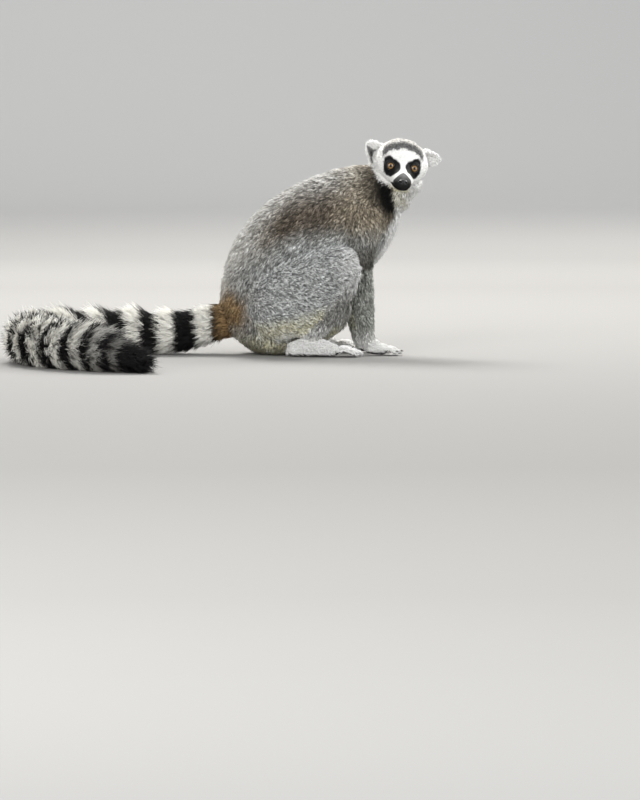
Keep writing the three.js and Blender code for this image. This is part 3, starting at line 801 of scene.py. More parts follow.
# ------------------------------------------------------------------ the lie of the coat
def skin_fields(mesh):
    """Everything the coat needs at each vertex of the skin."""
    places, normals, edges = vertex_array(mesh), normal_array(mesh), edge_array(mesh)
    region = regions_of(places)
    names = KINDS[region]
    flow = along_surface(spread(flows(places, region), edges, 10), normals)
    kept = np.where(names == "head", from_table(HEAD_LIFT, head_space(places)[:, 0]), 1.0)
    lift = np.radians(COAT_TABLE[region, LIFTS]) * kept[:, None]
    colour = markings(places, normals, region)
    darkest, lightest = colour.min(axis=1), colour.max(axis=1)
    pale = fade(0.55, 0.85, darkest)
    cap = fade(0.5, 0.3, darkest) * fade(0.02, 0.06, darkest)
    dark = fade(0.03, 0.012, lightest)
    grey = np.isin(names, (*TRUNK, "thigh", "shank", "upper_arm", "forearm")) * 1.0
    grizzle = np.where(names == "head", cap * 0.8, grey * (1.0 - 0.75 * pale) * (1.0 - 0.8 * dark))
    return {
        "places": places, "normals": normals, "region": region, "flow": unit(flow),
        "length": spread(hair_lengths(places, region), edges, 4),
        "width": spread(COAT_TABLE[region, WIDTH], edges, 4),
        "lift": spread(lift, edges, 4),
        "density": spread(coat_density(places, normals, names), edges, 1),
        "grizzle": spread(grizzle, edges, 3),
        "fold": crease(region, places, edges),
    }


def hair_lengths(places, region):
    """Length of the hair, mm: short on the face, long on cheeks, ear rims and tail end."""
    names, local = KINDS[region], head_space(places)
    f = local[:, 0]
    length = np.where(names == "head", from_table(HEAD_HAIR, f), COAT_TABLE[region, LENGTH])
    for side in SIDES:
        a, b, _ = ear_space(local, side)
        inner = fade(0.6, 0.3, np.abs(b + 0.2)) * fade(0.85, 0.7, a)
        length = mix(length, 5.5 - 3.0 * inner, in_ear(local, side))
    length = np.where(names == "muzzle", from_table(MUZZLE_HAIR, f), length)
    return np.where(names == "tail", from_table(TAIL_HAIR, along_tail(places)[0]), length)


def coat_density(places, normals, names):
    """0 on palms, soles and under the nose pad, and 1 elsewhere."""
    sole = np.isin(names, PAWS) & (normals[:, 2] < -0.45)
    under_nose = (names == "muzzle") & (head_space(places)[:, 0] > 55.5)
    return np.where(sole | under_nose, 0.0, 1.0)


def flows(places, region):
    """The lie of the coat: a direction for each vertex."""
    names, flow = KINDS[region], np.zeros_like(places)
    down = np.array((0.0, 0.0, -1.0))
    trunk, tail, face = np.isin(names, TRUNK), names == "tail", np.isin(names, FACE)
    flow[trunk] = spine_ways(places[trunk]) + 0.30 * down
    flow[tail] = along_tail(places)[1][tail]
    flow[face] = (unit(head_space(places) - np.array(PARTING)) @ HEAD_AXES)[face]
    for side in SIDES:
        for part, (start, end, droop) in LIMBS.items():
            way = unit(mirrored(end, side) - mirrored(start, side))
            flow[region == FLESH.index(f"{part}_{side}")] = way + droop * down
        flow[region == FLESH.index(f"ear_{side}")] = ear_axes(side)[2] @ HEAD_AXES
    return flow


def spine_ways(points):
    """The way from head to tail along the spine, by the nearest stretch of it."""
    best = np.full(len(points), np.inf)
    way = np.zeros_like(points)
    for a, b in zip(SPINE[:-1], SPINE[1:]):
        span = b - a
        t = np.clip(((points - a) @ span) / (span @ span), 0, 1)
        gap = np.linalg.norm(points - (a + t[:, None] * span), axis=1)
        closer = gap < best
        best[closer] = gap[closer]
        way[closer] = unit(span)
    return way


# ------------------------------------------------------------------ markings
def painted(colour, ground, *layers):
    """A ground colour with others laid over it in turn, each by its amount at each point."""
    out = colour[ground]
    for name, amount in layers:
        out = mix(out, colour[name], np.asarray(amount)[:, None])
    return out


def markings(points, normals, region):
    """Colour of the coat at each point: the same for skin and tufts."""
    coat = bpy.context.scene.lemur_coat
    names, local = KINDS[region], head_space(points)
    colour = {name: np.array(getattr(coat, name)) for name in TONES}
    trunk = body_markings(points, normals, colour)
    limb = limb_markings(points, normals, names, {**colour, "trunk": trunk, "shadow": np.zeros(3)})
    out = np.where(np.isin(names, list(LIMBS))[:, None], limb, trunk)
    gap = np.where(names == "head", fade(20, 12, local[:, 0]), 1.0) * off_skull(local)
    on_face = np.where(np.isin(names, ("head", "neck", "chest")), fade(4.0, 1.5, gap),
                       np.isin(names, ("muzzle", "ear")) * 1.0)
    on_face = np.maximum(on_face, (names == "head") * in_ears(local))
    out = mix(out, head_markings(points, normals, names, colour), on_face)
    return np.where((names == "tail")[:, None], tail_markings(points, colour), out)


def off_skull(local):
    """How far each point stands out from the rounds of the head, mm."""
    f, l, u = local.T
    height, width, tall = skull_row(f)
    share = np.hypot(l / width, (u - height) / tall)
    return (share - 1.0) * np.minimum(width, tall) + face_depth(f) + np.maximum(-30.0 - f, 0.0)


def body_markings(points, normals, colour):
    """Trunk and neck: brown-grey above with painted light along the top, light grey flank, black ruff of dark
    fur and painted shade, pale throat and belly.
    """
    x, y, z = points.T
    wander = noise(points, 0.028, SEEDS["trunk"]) * 0.008 + noise(points, 0.009, SEEDS["trunk_fine"]) * 0.003
    border = from_table(FLANK_TOP, x)
    # painted light along the top of the back, on its silvery grizzle, stronger towards the rump
    back_top_light = (fade(0.046, 0.012, np.abs(y) + 0.5 * wander) * fade(0.15, 0.07, x)
                 * (0.75 + 0.20 * fade(0.04, -0.03, x)))
    belly = fade(-0.25, -0.75, normals[:, 2]) * fade(0.0, 0.04, x) * fade(0.15, 0.11, z)
    seat = fade(0.042, 0.018, z + wander) * fade(-0.055, -0.03, x)
    patch = np.exp(-((x + 0.046 + wander) / 0.024) ** 2 - ((z - 0.062 + wander) / 0.024) ** 2)
    edge = x - from_table(FRONT_EDGE, z) + wander * 0.4
    front = fade(-0.0035, 0.0035, edge) * fade(0.095, 0.115, z)
    behind = (edge + 0.6 * wander) / from_table(RUFF_SHADE_REACH, z)
    # the ruff: dark neck fur with painted shade under the head, fading out behind the front edge
    ruff = 0.66 * fade(-1.15, -0.70, behind) + 0.34 * fade(-0.64, -0.30, behind)
    warm = 0.5 * fade(0.188, 0.200, z) * fade(0.184, 0.172, x)
    return painted(
        {**colour, "throat": painted(colour, "white", ("cream", warm))}, "back",
        ("shoulder", fade(0.070, 0.115, x + wander) * 0.75),
        ("loin", fade(0.022, -0.040, x + wander) * 0.9),
        ("grey", fade(0.024, -0.018, z - border + wander)),
        ("silver_top_light", back_top_light),
        ("cream", belly),
        ("cream", seat),
        ("rump", np.clip(patch * 1.35, 0, 1) * 0.95),
        ("ruff", ruff * fade(0.164, 0.194, z) * fade(0.252, 0.232, z + wander)),
        ("throat", front),
    )


def limb_markings(points, normals, names, colour):
    """Limbs: light grey outside, cream inside and under the thigh, white hands and feet."""
    x, y, z = points.T
    wander = noise(points, 0.020, SEEDS["limb"]) * 0.005
    inner = fade(0.25, 0.75, -normals[:, 1] * np.sign(y))
    upper, forearm, thigh, shank = (names == part for part in ("upper_arm", "forearm", "thigh", "shank"))
    arm, leg, paw = upper | forearm, thigh | shank, np.isin(names, PAWS)
    hem = z - from_table(THIGH_HEM, x)
    heel = fade(0.040, 0.018, z + wander) * fade(-0.016, 0.022, x + wander) * thigh
    low = fade(0.052, 0.024, z) * shank + fade(0.040, 0.020, z) * forearm
    # the paws' white fades towards the heel: painted shade where the foot goes under the thigh
    bare = 1.0 - 0.45 * fade(0.036, 0.016, x + wander) * fade(0.008, 0.020, z)
    return painted(
        colour, "grey",
        ("arm", arm),
        ("back", upper * 0.60),
        ("shadow", 0.34 * upper * fade(0.190, 0.155, z)),
        ("trunk", upper * fade(0.125, 0.170, z + wander)),
        # painted light on the front of the knee, where light from behind catches it
        ("white", fade(0.07, 0.12, x) * fade(0.06, 0.10, z) * leg * 0.6),
        # the lower shank darkened towards the back's colour as painted shade
        ("back", shank * 0.40 * fade(0.10, 0.07, z)),
        ("trunk", fade(0.01, -0.045, x) * fade(0.05, 0.09, z) * leg * 0.9),
        ("cream", fade(0.014, -0.010, hem + wander) * thigh * 0.85),
        ("cream", inner * leg * 0.8 + inner * arm * 0.35),
        ("white", heel * 0.75),
        ("white", np.maximum(paw * bare, low * 0.9)),
        ("grey", (names == "hand") * 0.25),
        ("sole", paw * fade(-0.35, -0.7, normals[:, 2])),
    )


def eye_patch(l, u, side):
    """How far a point of the face lies inside the dark patch round an eye, mm."""
    sign = side_sign(side)
    out, up = (l - sign * EYE_AT[1]) * sign, u - EYE_AT[2]
    turn = np.degrees(np.arctan2(up, out)) % 360
    return from_table(EYE_PATCH, turn) - np.hypot(out, up)


def muzzle_patch(f, l, u):
    """How far a point lies inside the dark skin of the muzzle, mm."""
    inside = from_table(MUZZLE_EDGE, u) - np.abs(l)
    corner = 2.2 - np.hypot((np.abs(l) - 12.4) * 0.9, (u + 25.0) * 1.6)
    return np.where(f > 32, np.maximum(inside, corner), -5.0)


def head_markings(points, normals, names, colour):
    """White face under a grey cap with painted light on its top, black eye patches, a black muzzle with a
    painted sheen on top.
    """
    local = head_space(points)
    f, l, u = local.T
    beside = np.abs(l)
    ragged = noise(points, 0.0030, SEEDS["head"]) * 0.8 + noise(points, 0.0014, SEEDS["head_fine"]) * 0.5
    above = u - from_table(CROWN_EDGE, beside) + ragged
    # the top of the crown painted lighter with the silver: painted light from above on silvery grizzle
    top = painted(colour, "crown",
                  ("silver_top_light", fade(5.0, 12.0, above) * 0.75), ("shoulder", fade(-12, -28, f) * 0.5))
    cap = fade(-0.9, 1.0, above) * fade(27.0, 24.5, beside + ragged)
    back = fade(-8, -18, f + ragged * 2) * fade(-22, -8, u) * fade(36, 28, beside)
    # low on the back of the head, the ruff's dark: dark nape fur and painted shade under the head
    behind = fade(-9, -19, f + ragged) * fade(9, -4, u)
    under = fade(-25, -33, u) * fade(42, 32, f) * fade(20, 10, beside)
    dark = muzzle_patch(f, l, u) + ragged * 0.3
    # painted sheen along the top of the muzzle, brightest on its middle line, over grey skin
    bridge = fade(-24.5, -18.5, u) * fade(-0.2, 0.8, dark)
    return painted(
        {**colour, "cap": top, "ear": ear_markings(local, normals, colour)}, "white",
        ("cap", np.maximum(cap, back)),
        ("ruff", behind * np.where(l < 20, 0.9, 0.4)),
        ("cream", under * 0.9),
        *(("black", fade(-0.6, 0.5, eye_patch(l, u, side) + ragged * 0.6) * (f > BROW_START))
          for side in SIDES),
        ("black", fade(-0.5, 0.4, dark)),
        ("bridge", bridge * (0.35 + 0.5 * bump(l, 0.5, 4.2))),
        ("ear", np.where(names == "ear", 1.0, in_ears(local))),
    )


def ear_markings(local, normals, colour):
    """White, but for the cup of the right ear: thinly haired and grey, with painted shade near black in the
    opening at its root.
    """
    a, b, _ = ear_space(local, "right")
    turned = (normals @ HEAD_AXES.T) @ ear_axes("right")[4]
    open_side = np.maximum(fade(0.05, 0.35, turned), fade(0.35, 0.2, a) * fade(-0.4, 0.0, turned))
    inner = b - np.interp(a, (0.30, 0.85), (0.50, -0.25))
    cup = (in_ear(local, "right") * open_side
           * fade(0.14, -0.12, inner) * fade(-0.84, -0.60, b) * fade(0.92, 0.80, a))
    # painted shade, near black, in the ear's opening at the root of the cup
    hole = cup * fade(0.72, 0.50, a) * fade(0.05, -0.22, b)
    return painted(colour, "white", ("crown", cup * 0.92), ("black", hole * 0.95))


def tail_markings(points, colour):
    """Pale rings on black, brown at the root."""
    s = along_tail(points)[0] + noise(points, 0.004, SEEDS["tail"]) * 1.6
    pale = np.zeros(len(s))
    for centre, gap, strength in zip(RING_CENTRES, np.gradient(RING_CENTRES), RING_STRENGTHS):
        half = gap * RING_SHARE
        pale = np.maximum(pale, fade(half + 2.0, half - 2.0, np.abs(s - centre)) * strength)
    return painted(colour, "black", ("ring", pale), ("rump", fade(34, 18, s) * 0.9))


# ------------------------------------------------------------------ materials
def new_material(name, roughness, specular=0.3, coat=0.0):
    material = bpy.data.materials.new(name)
    material.use_nodes = True
    shader = material.node_tree.nodes["Principled BSDF"]
    for entry, value in (("Roughness", roughness), ("Specular IOR Level", specular),
                         ("Coat Weight", coat), ("Coat Roughness", 0.04)):
        shader.inputs[entry].default_value = value
    return material, material.node_tree, shader


def add_node(tree, sort, values=None, **settings):
    """A new node with its settings, and the values of its inputs."""
    node = tree.nodes.new(f"ShaderNode{sort}")
    for name, value in settings.items():
        setattr(node, name, value)
    for entry, value in (values or {}).items():
        node.inputs[entry].default_value = value
    return node


def link(tree, source, output, target, entry):
    tree.links.new(source.outputs[output], target.inputs[entry])


def add_texture(tree, sort, **values):
    """A texture node laid out by the object's own coordinates."""
    texture = add_node(tree, sort, values)
    link(tree, add_node(tree, "TexCoord"), "Object", texture, "Vector")
    return texture


def add_bump(tree, source, output, shader, strength, distance):
    relief = add_node(tree, "Bump", {"Strength": strength, "Distance": distance})
    link(tree, source, output, relief, "Height")
    link(tree, relief, "Normal", shader, "Normal")


def add_ramp(tree, source, output, stops):
    node = add_node(tree, "ValToRGB")
    band = node.color_ramp
    for _ in range(len(stops) - 2):
        band.elements.new(0.5)
    for element, (place, colour) in zip(band.elements, stops):
        element.position = place
        element.color = (*colour, 1.0)
    link(tree, source, output, node, "Fac")
    return node


def marked_material(name, roughness, specular, grain_scale, low, high):
    """Fur or skin whose colour is the marking on the surface, broken up by a fine grain."""
    material, tree, shader = new_material(name, roughness, specular)
    marking = add_node(tree, "Attribute", attribute_name="marking")
    grain = add_texture(tree, "TexNoise", Scale=grain_scale, Detail=2.0)
    span = add_node(tree, "MapRange", {"From Min": 0.3, "From Max": 0.7, "To Min": low, "To Max": high})
    link(tree, grain, "Fac", span, "Value")
    scale = add_node(tree, "VectorMath", operation="SCALE")
    link(tree, marking, "Color", scale, "Vector")
    link(tree, span, "Result", scale, "Scale")
    link(tree, scale, "Vector", shader, "Base Color")
    return material, tree, shader


def skin_material():
    material, tree, shader = marked_material("lemur_skin", 0.6, 0.16, 900.0, 0.75, 1.05)
    grain = add_texture(tree, "TexNoise", Scale=1400.0, Detail=4.0)
    add_bump(tree, grain, "Fac", shader, 0.5, 0.0004)
    return material


def eye_material():
    """Amber iris round a small pupil, dark at its rim, under a wet surface."""
    material, tree, shader = new_material("lemur_eye", 0.22, 0.3, 0.45)
    turn = add_node(tree, "Attribute", attribute_name="off_gaze")
    grain = add_texture(tree, "TexNoise", Scale=1600.0, Detail=4.0)
    shift = add_node(tree, "Math", {1: 0.05}, operation="MULTIPLY_ADD")
    link(tree, grain, "Fac", shift, 0)
    link(tree, turn, "Fac", shift, 2)
    colours = add_ramp(tree, shift, "Value", (
        (0.000, srgb(3, 3, 3)), (0.190, srgb(3, 3, 3)), (0.212, srgb(74, 48, 22)),
        (0.33, srgb(134, 104, 64)), (0.46, srgb(116, 86, 48)), (0.55, srgb(56, 36, 18)),
        (0.61, srgb(20, 14, 10)), (1.0, srgb(30, 24, 20)),
    ))
    link(tree, colours, "Color", shader, "Base Color")
    return material


def leather_material(name, colour, roughness, scale):
    material, tree, shader = new_material(name, roughness, 0.45)
    grain = add_texture(tree, "TexNoise", Scale=scale, Detail=3.0)
    dark = tuple(0.55 * c for c in colour)
    tones = add_ramp(tree, grain, "Fac", ((0.35, dark), (0.65, colour)))
    link(tree, tones, "Color", shader, "Base Color")
    cells = add_texture(tree, "TexVoronoi", Scale=scale * 1.6)
    add_bump(tree, cells, "Distance", shader, 0.35, 0.0003)
    return material


def paper_material(near):
    """Backdrop paper, its grey set by the distance from the lemur."""
    material, tree, shader = new_material("studio_paper", 0.85, 0.2)
    place = add_node(tree, "TexCoord")
    narrowed = add_node(tree, "VectorMath", {1: (FLOOR_NARROWING, 1.0, 1.0)}, operation="MULTIPLY")
    link(tree, place, "Object", narrowed, "Vector")
    reach = add_node(tree, "VectorMath", operation="LENGTH")
    link(tree, narrowed, "Vector", reach, "Vector")
    span = add_node(tree, "MapRange", {"From Max": FLOOR_REACH})
    link(tree, reach, "Value", span, "Value")
    stops = [(0.0, near)]
    stops += [(metres / FLOOR_REACH, srgb(grey, grey - 1, grey - 3)) for metres, grey in FLOOR_GREYS]
    link(tree, add_ramp(tree, span, "Result", stops), "Color", shader, "Base Color")
    return material


# ------------------------------------------------------------------ tufts
def sampled_roots(fields, triangles, chosen, per_area, rng):
    """Places on the skin for tufts, spread evenly by area and density."""
    a, b, c = (fields["places"][triangles[chosen][:, k]] for k in range(3))
    area = 0.5 * np.linalg.norm(np.cross(b - a, c - a), axis=1) / MM ** 2
    load = np.cumsum(area * fields["density"][triangles[chosen]].mean(axis=1))
    total = load[-1]
    number = min(int(total * per_area), MOST_TUFTS)
    marks = (np.arange(number) + rng.random(number)) / number * total
    pick = np.minimum(np.searchsorted(load, marks), len(load) - 1)
    s, t = rng.random(number), rng.random(number)
    flip = s + t > 1
    s[flip], t[flip] = 1 - s[flip], 1 - t[flip]
    return chosen[pick], np.stack((1 - s - t, s, t), axis=1)


def blend_at(values, triangles, face, share):
    corners = values[triangles[face]]
    share = share if corners.ndim == 2 else share[:, :, None]
    return (corners * share).sum(axis=1)


def unwrapped(mesh, faces_wanted):
    """Middles of these skin faces in an unwrap of them, laid out in the unit square."""
    bm = bmesh.new()
    bm.from_mesh(mesh)
    kept = np.zeros(len(bm.faces), dtype=bool)
    kept[faces_wanted] = True
    original = bm.faces.layers.int.new("original")
    for face in bm.faces:
        face[original] = face.index
    bmesh.ops.delete(bm, geom=[f for f in bm.faces if not kept[f.index]], context="FACES")
    piece = object_from(mesh_of(bm, "patch"), "patch")
    bpy.ops.object.select_all(action="DESELECT")
    bpy.context.view_layer.objects.active = piece
    piece.select_set(True)
    bpy.ops.object.mode_set(mode="EDIT")
    bpy.ops.mesh.select_all(action="SELECT")
    bpy.ops.uv.smart_project(angle_limit=math.radians(66), island_margin=0.002)
    bpy.ops.object.mode_set(mode="OBJECT")
    data = piece.data
    corners = read(data.uv_layers.active.data, "uv", 2)
    starts = read(data.polygons, "loop_start", dtype=np.int32)
    sizes = read(data.polygons, "loop_total", dtype=np.int32)
    out = np.zeros((len(mesh.polygons), 2))
    out[read(data.attributes["original"].data, "value", dtype=np.int32)] = (
        np.add.reduceat(corners, starts, axis=0) / sizes[:, None])
    bpy.data.objects.remove(piece)
    bpy.data.meshes.remove(data)
    return out


def tuft_mesh(name, roots, axes, shape, tints, uv, pull):
    """One mesh of many tufts, lying along the second of three axes and bending to the third."""
    normal, flow, side = axes
    length, width, lift, bend = shape
    first, second = (flow * np.cos(lift[:, k:k + 1]) + normal * np.sin(lift[:, k:k + 1])
                     + side * bend[:, k:k + 1] for k in (0, 1))
    start = roots - normal * BURIED
    middle = start + first * (length * LOWER)[:, None] + pull * LOWER_PULL
    tip = middle + second * (length * UPPER)[:, None] + pull * UPPER_PULL
    rise = unit(np.cross(side, unit(tip - start)))
    rise = rise * np.sign((rise * normal).sum(axis=1, keepdims=True))
    ring = [middle + side * (across * width)[:, None] + rise * (up * width)[:, None] for across, up in RING]
    vertices = np.stack((start, *ring, tip), axis=1)
    vertices[:, :, 2] = np.maximum(vertices[:, :, 2], TUFT_LOWEST)
    faces = (TUFT_FACES[None] + (np.arange(len(roots)) * len(TUFT_SHADES))[:, None, None]).reshape(-1, 3)
    mesh = bpy.data.meshes.new(name)
    mesh.vertices.add(vertices.size // 3)
    mesh.vertices.foreach_set("co", vertices.ravel())
    mesh.loops.add(faces.size)
    mesh.loops.foreach_set("vertex_index", faces.ravel().astype(np.int32))
    mesh.polygons.add(len(faces))
    mesh.polygons.foreach_set("loop_start", np.arange(0, faces.size, 3, dtype=np.int32))
    mesh.update(calc_edges=True)
    smooth_faces(mesh)
    add_colours(mesh, tints.reshape(-1, 3))
    spots = (uv[:, None] + TUFT_SPOTS * UV_PATCH).reshape(-1, 2)
    layer = mesh.uv_layers.new(name="OFBake")
    layer.data.foreach_set("uv", spots[faces.ravel()].ravel().astype(np.float32))
    mesh.validate()
    return mesh


def tuft_tone(roots, shared, grizzle, rng):
    """Lightness of each tuft: strong grizzling on the grey parts, little on white and black."""
    light = shared + rng.normal(0, TONE_CHANCE, len(roots)) + TONE_NOISE * noise(roots, 0.010, SEEDS["tone"])
    light -= DARK_BY * (rng.random(len(roots)) < DARK_TUFTS)
    return np.exp(light * mix(PLAIN_TONE, 1.0, grizzle))


def coat_piece(name, skin, fields, triangles, owners, material):
    """One piece of coat: its tufts placed, laid, sized, coloured and given their spots of the bake."""
    kinds, per_area, clump, closing, curl, range_of_tone, slot = COAT_PIECES[name]
    coat = bpy.context.scene.lemur_coat
    rng = np.random.default_rng(coat.seed + sum(map(ord, name)))
    members = [i for i, n in enumerate(FLESH) if n in kinds or kind(n) in kinds]
    chosen = np.flatnonzero(np.isin(fields["region"][triangles[:, 0]], members))
    face, share = sampled_roots(fields, triangles, chosen, per_area * coat.fullness, rng)

    def at_roots(field):
        return blend_at(fields[field], triangles, face, share)

    roots, normal = at_roots("places"), unit(at_roots("normals"))
    flow = unit(along_surface(at_roots("flow"), normal))
    n = len(roots)
    wide, _ = clumps(roots, clump * MM, SEEDS["clump"])
    fine, numbers = clumps(roots, clump * FINE_CLUMP * MM, SEEDS["fine_clump"])
    tone_share, turn_share, lift_share, length_share = (numbers - 0.5).T
    sway = (SWAY_NOISE * noise(roots, 0.012, SEEDS["sway"]) + curl * turn_share
            + rng.normal(0, SWAY_CHANCE, n))
    turned = unit(flow + np.cross(normal, flow) * sway[:, None])
    fold = at_roots("fold")
    length = at_roots("length") * MM
    length *= np.clip(1.0 + LENGTH_CLUMP * length_share + rng.normal(0, LENGTH_CHANCE, n), *LENGTH_LIMITS)
    length *= 1.0 - FOLD_SHORTER * fold
    width = at_roots("width") * MM * rng.uniform(*WIDTH_LIMITS, n)
    lift = at_roots("lift") * (1.0 + LIFT_NOISE * noise(roots, 0.007, SEEDS["lift"]) + LIFT_CLUMP * lift_share
                               + rng.normal(0, LIFT_CHANCE, n))[:, None]
    bend = np.stack((rng.normal(0, LOWER_BEND, n),
                     rng.normal(0, UPPER_BEND, n) + BEND_CLUMP * curl * tone_share), axis=1)
    pull = along_surface(wide * closing + fine * FINE_CLOSING, normal)
    grizzle = at_roots("grizzle")
    tints = markings(roots, normal, fields["region"][triangles[face, 0]])
    tints = tints * tuft_tone(roots, range_of_tone * tone_share, grizzle, rng)[:, None]
    # painted shade in the fold where the thigh meets the flank
    tints = tints * (1.0 - FOLD_SHADE * fold)[:, None]
    # each tuft darker at its root by painted shade within the coat, lighter at its banded tip
    contrast = mix(PLAIN_CONTRAST, 1.0, grizzle)
    tints = tints[:, None, :] * (1.0 + TUFT_SHADES[None, :, None] * contrast[:, None, None])
    uv = np.clip(unwrapped(skin, np.unique(owners[chosen]))[owners[face]], UV_EDGE, 1 - UV_EDGE)
    axes = (normal, turned, np.cross(normal, turned))
    mesh = tuft_mesh(name, roots, axes, (length, width, lift, bend), tints, uv, pull)
    mesh.materials.append(material)
    piece = object_from(mesh, name)
    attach(piece, "root")


# ------------------------------------------------------------------ skin and coat
class LEMUR_OT_skin(bpy.types.Operator):
    """Joins the solids of flesh into one skin under the coat"""

    bl_idname = "lemur.skin"
    bl_label = "Skin"

    def execute(self, context):
        mesh = skin_mesh()
        shape_face(mesh)
        smooth_faces(mesh)
        places, normals = vertex_array(mesh), normal_array(mesh)
        places[:, 2] = np.maximum(places[:, 2], SKIN_LOWEST)
        place_vertices(mesh, places)
        region = regions_of(places)
        bare = np.isin(KINDS[region], (*PAWS, *FACE, "ear"))
        # the skin under the coat at half the marking, as painted shade beneath the fur; bare parts at 0.85 of
        # it
        add_colours(mesh, markings(places, normals, region) * np.where(bare, 0.85, 0.5)[:, None])
        mesh.materials.append(skin_material())
        piece = object_from(mesh, "skin")
        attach(piece, "root")
        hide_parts(*FLESH)
        return {"FINISHED"}


class LEMUR_OT_coat(bpy.types.Operator):
    """Lays the tufts of the coat over the skin"""

    bl_idname = "lemur.coat"
    bl_label = "Coat"

    def execute(self, context):
        skin = bpy.data.objects["skin"].data
        fields = skin_fields(skin)
        skin.calc_loop_triangles()
        triangles = read(skin.loop_triangles, "vertices", 3, np.int32)
        owners = read(skin.loop_triangles, "polygon_index", dtype=np.int32)
        material, _, _ = marked_material("lemur_fur", 0.72, 0.22, 700.0, 0.86, 1.12)
        for name in COAT_PIECES:
            coat_piece(name, skin, fields, triangles, owners, material)
        return {"FINISHED"}


# ------------------------------------------------------------------ eyes
def eye_piece(side, material):
    """An eyeball with a raised front, and how far each point lies off the gaze."""
    centre, gaze = eye_pose(side)
    bm = bmesh.new()
    bmesh.ops.create_uvsphere(bm, u_segments=48, v_segments=40, radius=EYE_RADIUS)
    for vertex in bm.verts:
        off = math.acos(max(-1.0, min(1.0, vertex.co.z / EYE_RADIUS)))
        vertex.co *= 1.0 + CORNEA_RISE * max(0.0, 1.0 - (off / CORNEA_REACH) ** 2)
    turn = Vector((0, 0, 1)).rotation_difference(Vector(gaze)).to_matrix().to_4x4()
    bmesh.ops.transform(bm, matrix=Matrix.Translation(centre) @ turn, verts=bm.verts)
    places = np.array([v.co for v in bm.verts])
    off_gaze = np.arccos(np.clip(unit(places - centre) @ gaze, -1, 1))
    move_vertices(bm, from_head(places))
    piece = piece_of(bm, f"eyeball_{side}", material)
    layer = piece.data.attributes.new("off_gaze", "FLOAT", "POINT")
    layer.data.foreach_set("value", off_gaze.astype(np.float32))
    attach(piece, "root")
    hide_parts(f"eye_{side}")


def lid_rim(side, material):
    """A thin dark edge to the lids, lying on the eyeball round the opening."""
    aperture = bpy.context.scene.lemur_body.aperture
    centre, gaze = eye_pose(side)
    right = unit(np.cross((0.0, 0.0, 1.0), gaze))
    up = np.cross(gaze, right)
    bm = bmesh.new()
    bmesh.ops.create_circle(bm, cap_ends=False, radius=RIM_RADIUS, segments=10,
                            matrix=Matrix.Translation((1.0, 0, 0)) @ Matrix.Rotation(math.pi / 2, 4, "X"))
    bmesh.ops.spin(bm, geom=bm.verts[:] + bm.edges[:], cent=(0, 0, 0), axis=(0, 0, 1), angle=math.tau,
                   steps=56, use_merge=True, use_duplicate=False)
    for vertex in bm.verts:
        x, y, z = vertex.co
        around = math.atan2(y, x)
        open_by = aperture * (1.0 - RIM_OVAL * math.cos(2 * around - RIM_TILT))
        off = open_by + (math.hypot(x, y) - 1.0) / EYE_RADIUS
        way = (gaze * math.cos(off) + right * math.sin(off) * math.cos(around)
               + up * math.sin(off) * math.sin(around))
        vertex.co = from_head(centre + way * (EYE_RADIUS + RIM_RISE + z))
    bmesh.ops.remove_doubles(bm, verts=bm.verts, dist=1e-6)
    piece = piece_of(bm, f"lid_rim_{side}", material)
    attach(piece, "root")


class LEMUR_OT_eyes(bpy.types.Operator):
    """Sets the eyes and the edges of their lids"""

    bl_idname = "lemur.eyes"
    bl_label = "Eyes"

    def execute(self, context):
        eye = eye_material()
        rim = leather_material("lid_skin", srgb(26, 22, 20), 0.38, 900.0)
        for side in SIDES:
            eye_piece(side, eye)
            lid_rim(side, rim)
        return {"FINISHED"}


# ------------------------------------------------------------------ nose and nails
def nose_shape(places):
    """Nose pad in head axes, mm: broad above, notched below, with a comma nostril each side."""
    f, l, u = places.T
    beside = np.abs(l)
    groove = bump(l, 0.0, 0.5) * fade(1.6, -1.2, u)
    hole = np.exp(-((beside - 3.3) / 1.15) ** 2 - ((u - 0.5) / 0.95) ** 2)
    slit = np.exp(-((beside - 4.9) / 1.2) ** 2 - ((u + 0.5) / 0.55) ** 2)
    return np.stack((f - 0.8 * groove - 2.6 * hole - 1.5 * slit, l, u), axis=1)


class LEMUR_OT_nose(bpy.types.Operator):
    """Models the bare nose pad"""

    bl_idname = "lemur.nose"
    bl_label = "Nose"

    def execute(self, context):
        bm = bmesh.new()
        bmesh.ops.create_icosphere(bm, subdivisions=5, radius=1.0)
        places = np.array([v.co for v in bm.verts])
        squared = np.sign(places) * np.abs(places) ** 0.85
        squared = squared / np.maximum(np.linalg.norm(squared, axis=1, keepdims=True), 1e-9) ** 0.6
        places = squared * np.array(NOSE_SIZE)
        places[:, 1] *= 1.0 + 0.12 * np.clip(places[:, 2] / 4.0, -1, 1)
        move_vertices(bm, from_head(nose_shape(places) + np.array(NOSE_AT)))
        piece = piece_of(bm, "nose_pad", leather_material("nose_leather", srgb(22, 22, 22), 0.36, 700.0))
        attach(piece, "root")
        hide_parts("nose")
        return {"FINISHED"}


def nail(bm, end, start, side, arm, length, half):
    """A curved, keeled nail on the top of a fingertip."""
    tip, root = (mirrored((x + SHIFT_X, y, 0.0), side, arm) for x, y in (end, start))
    way = Vector(unit(tip - root))
    across = Vector((0, 0, 1)).cross(way)
    for vertex in bmesh.ops.create_uvsphere(bm, u_segments=12, v_segments=8, radius=1.0)["verts"]:
        x, y, z = vertex.co
        ahead = max(0.0, x)
        place = way * (x * length * 0.5) + across * (y * half * (1.0 - NAIL_TAPER * ahead))
        thick = z * NAIL_THICKNESS * (1 - 0.3 * y * y)
        place.z += (thick - NAIL_DROOP * ahead ** 2 - NAIL_CURVE * y * y) * half * 1.4
        vertex.co = Vector(tip) + way * NAIL_AHEAD + place + Vector((0, 0, NAIL_HEIGHT))


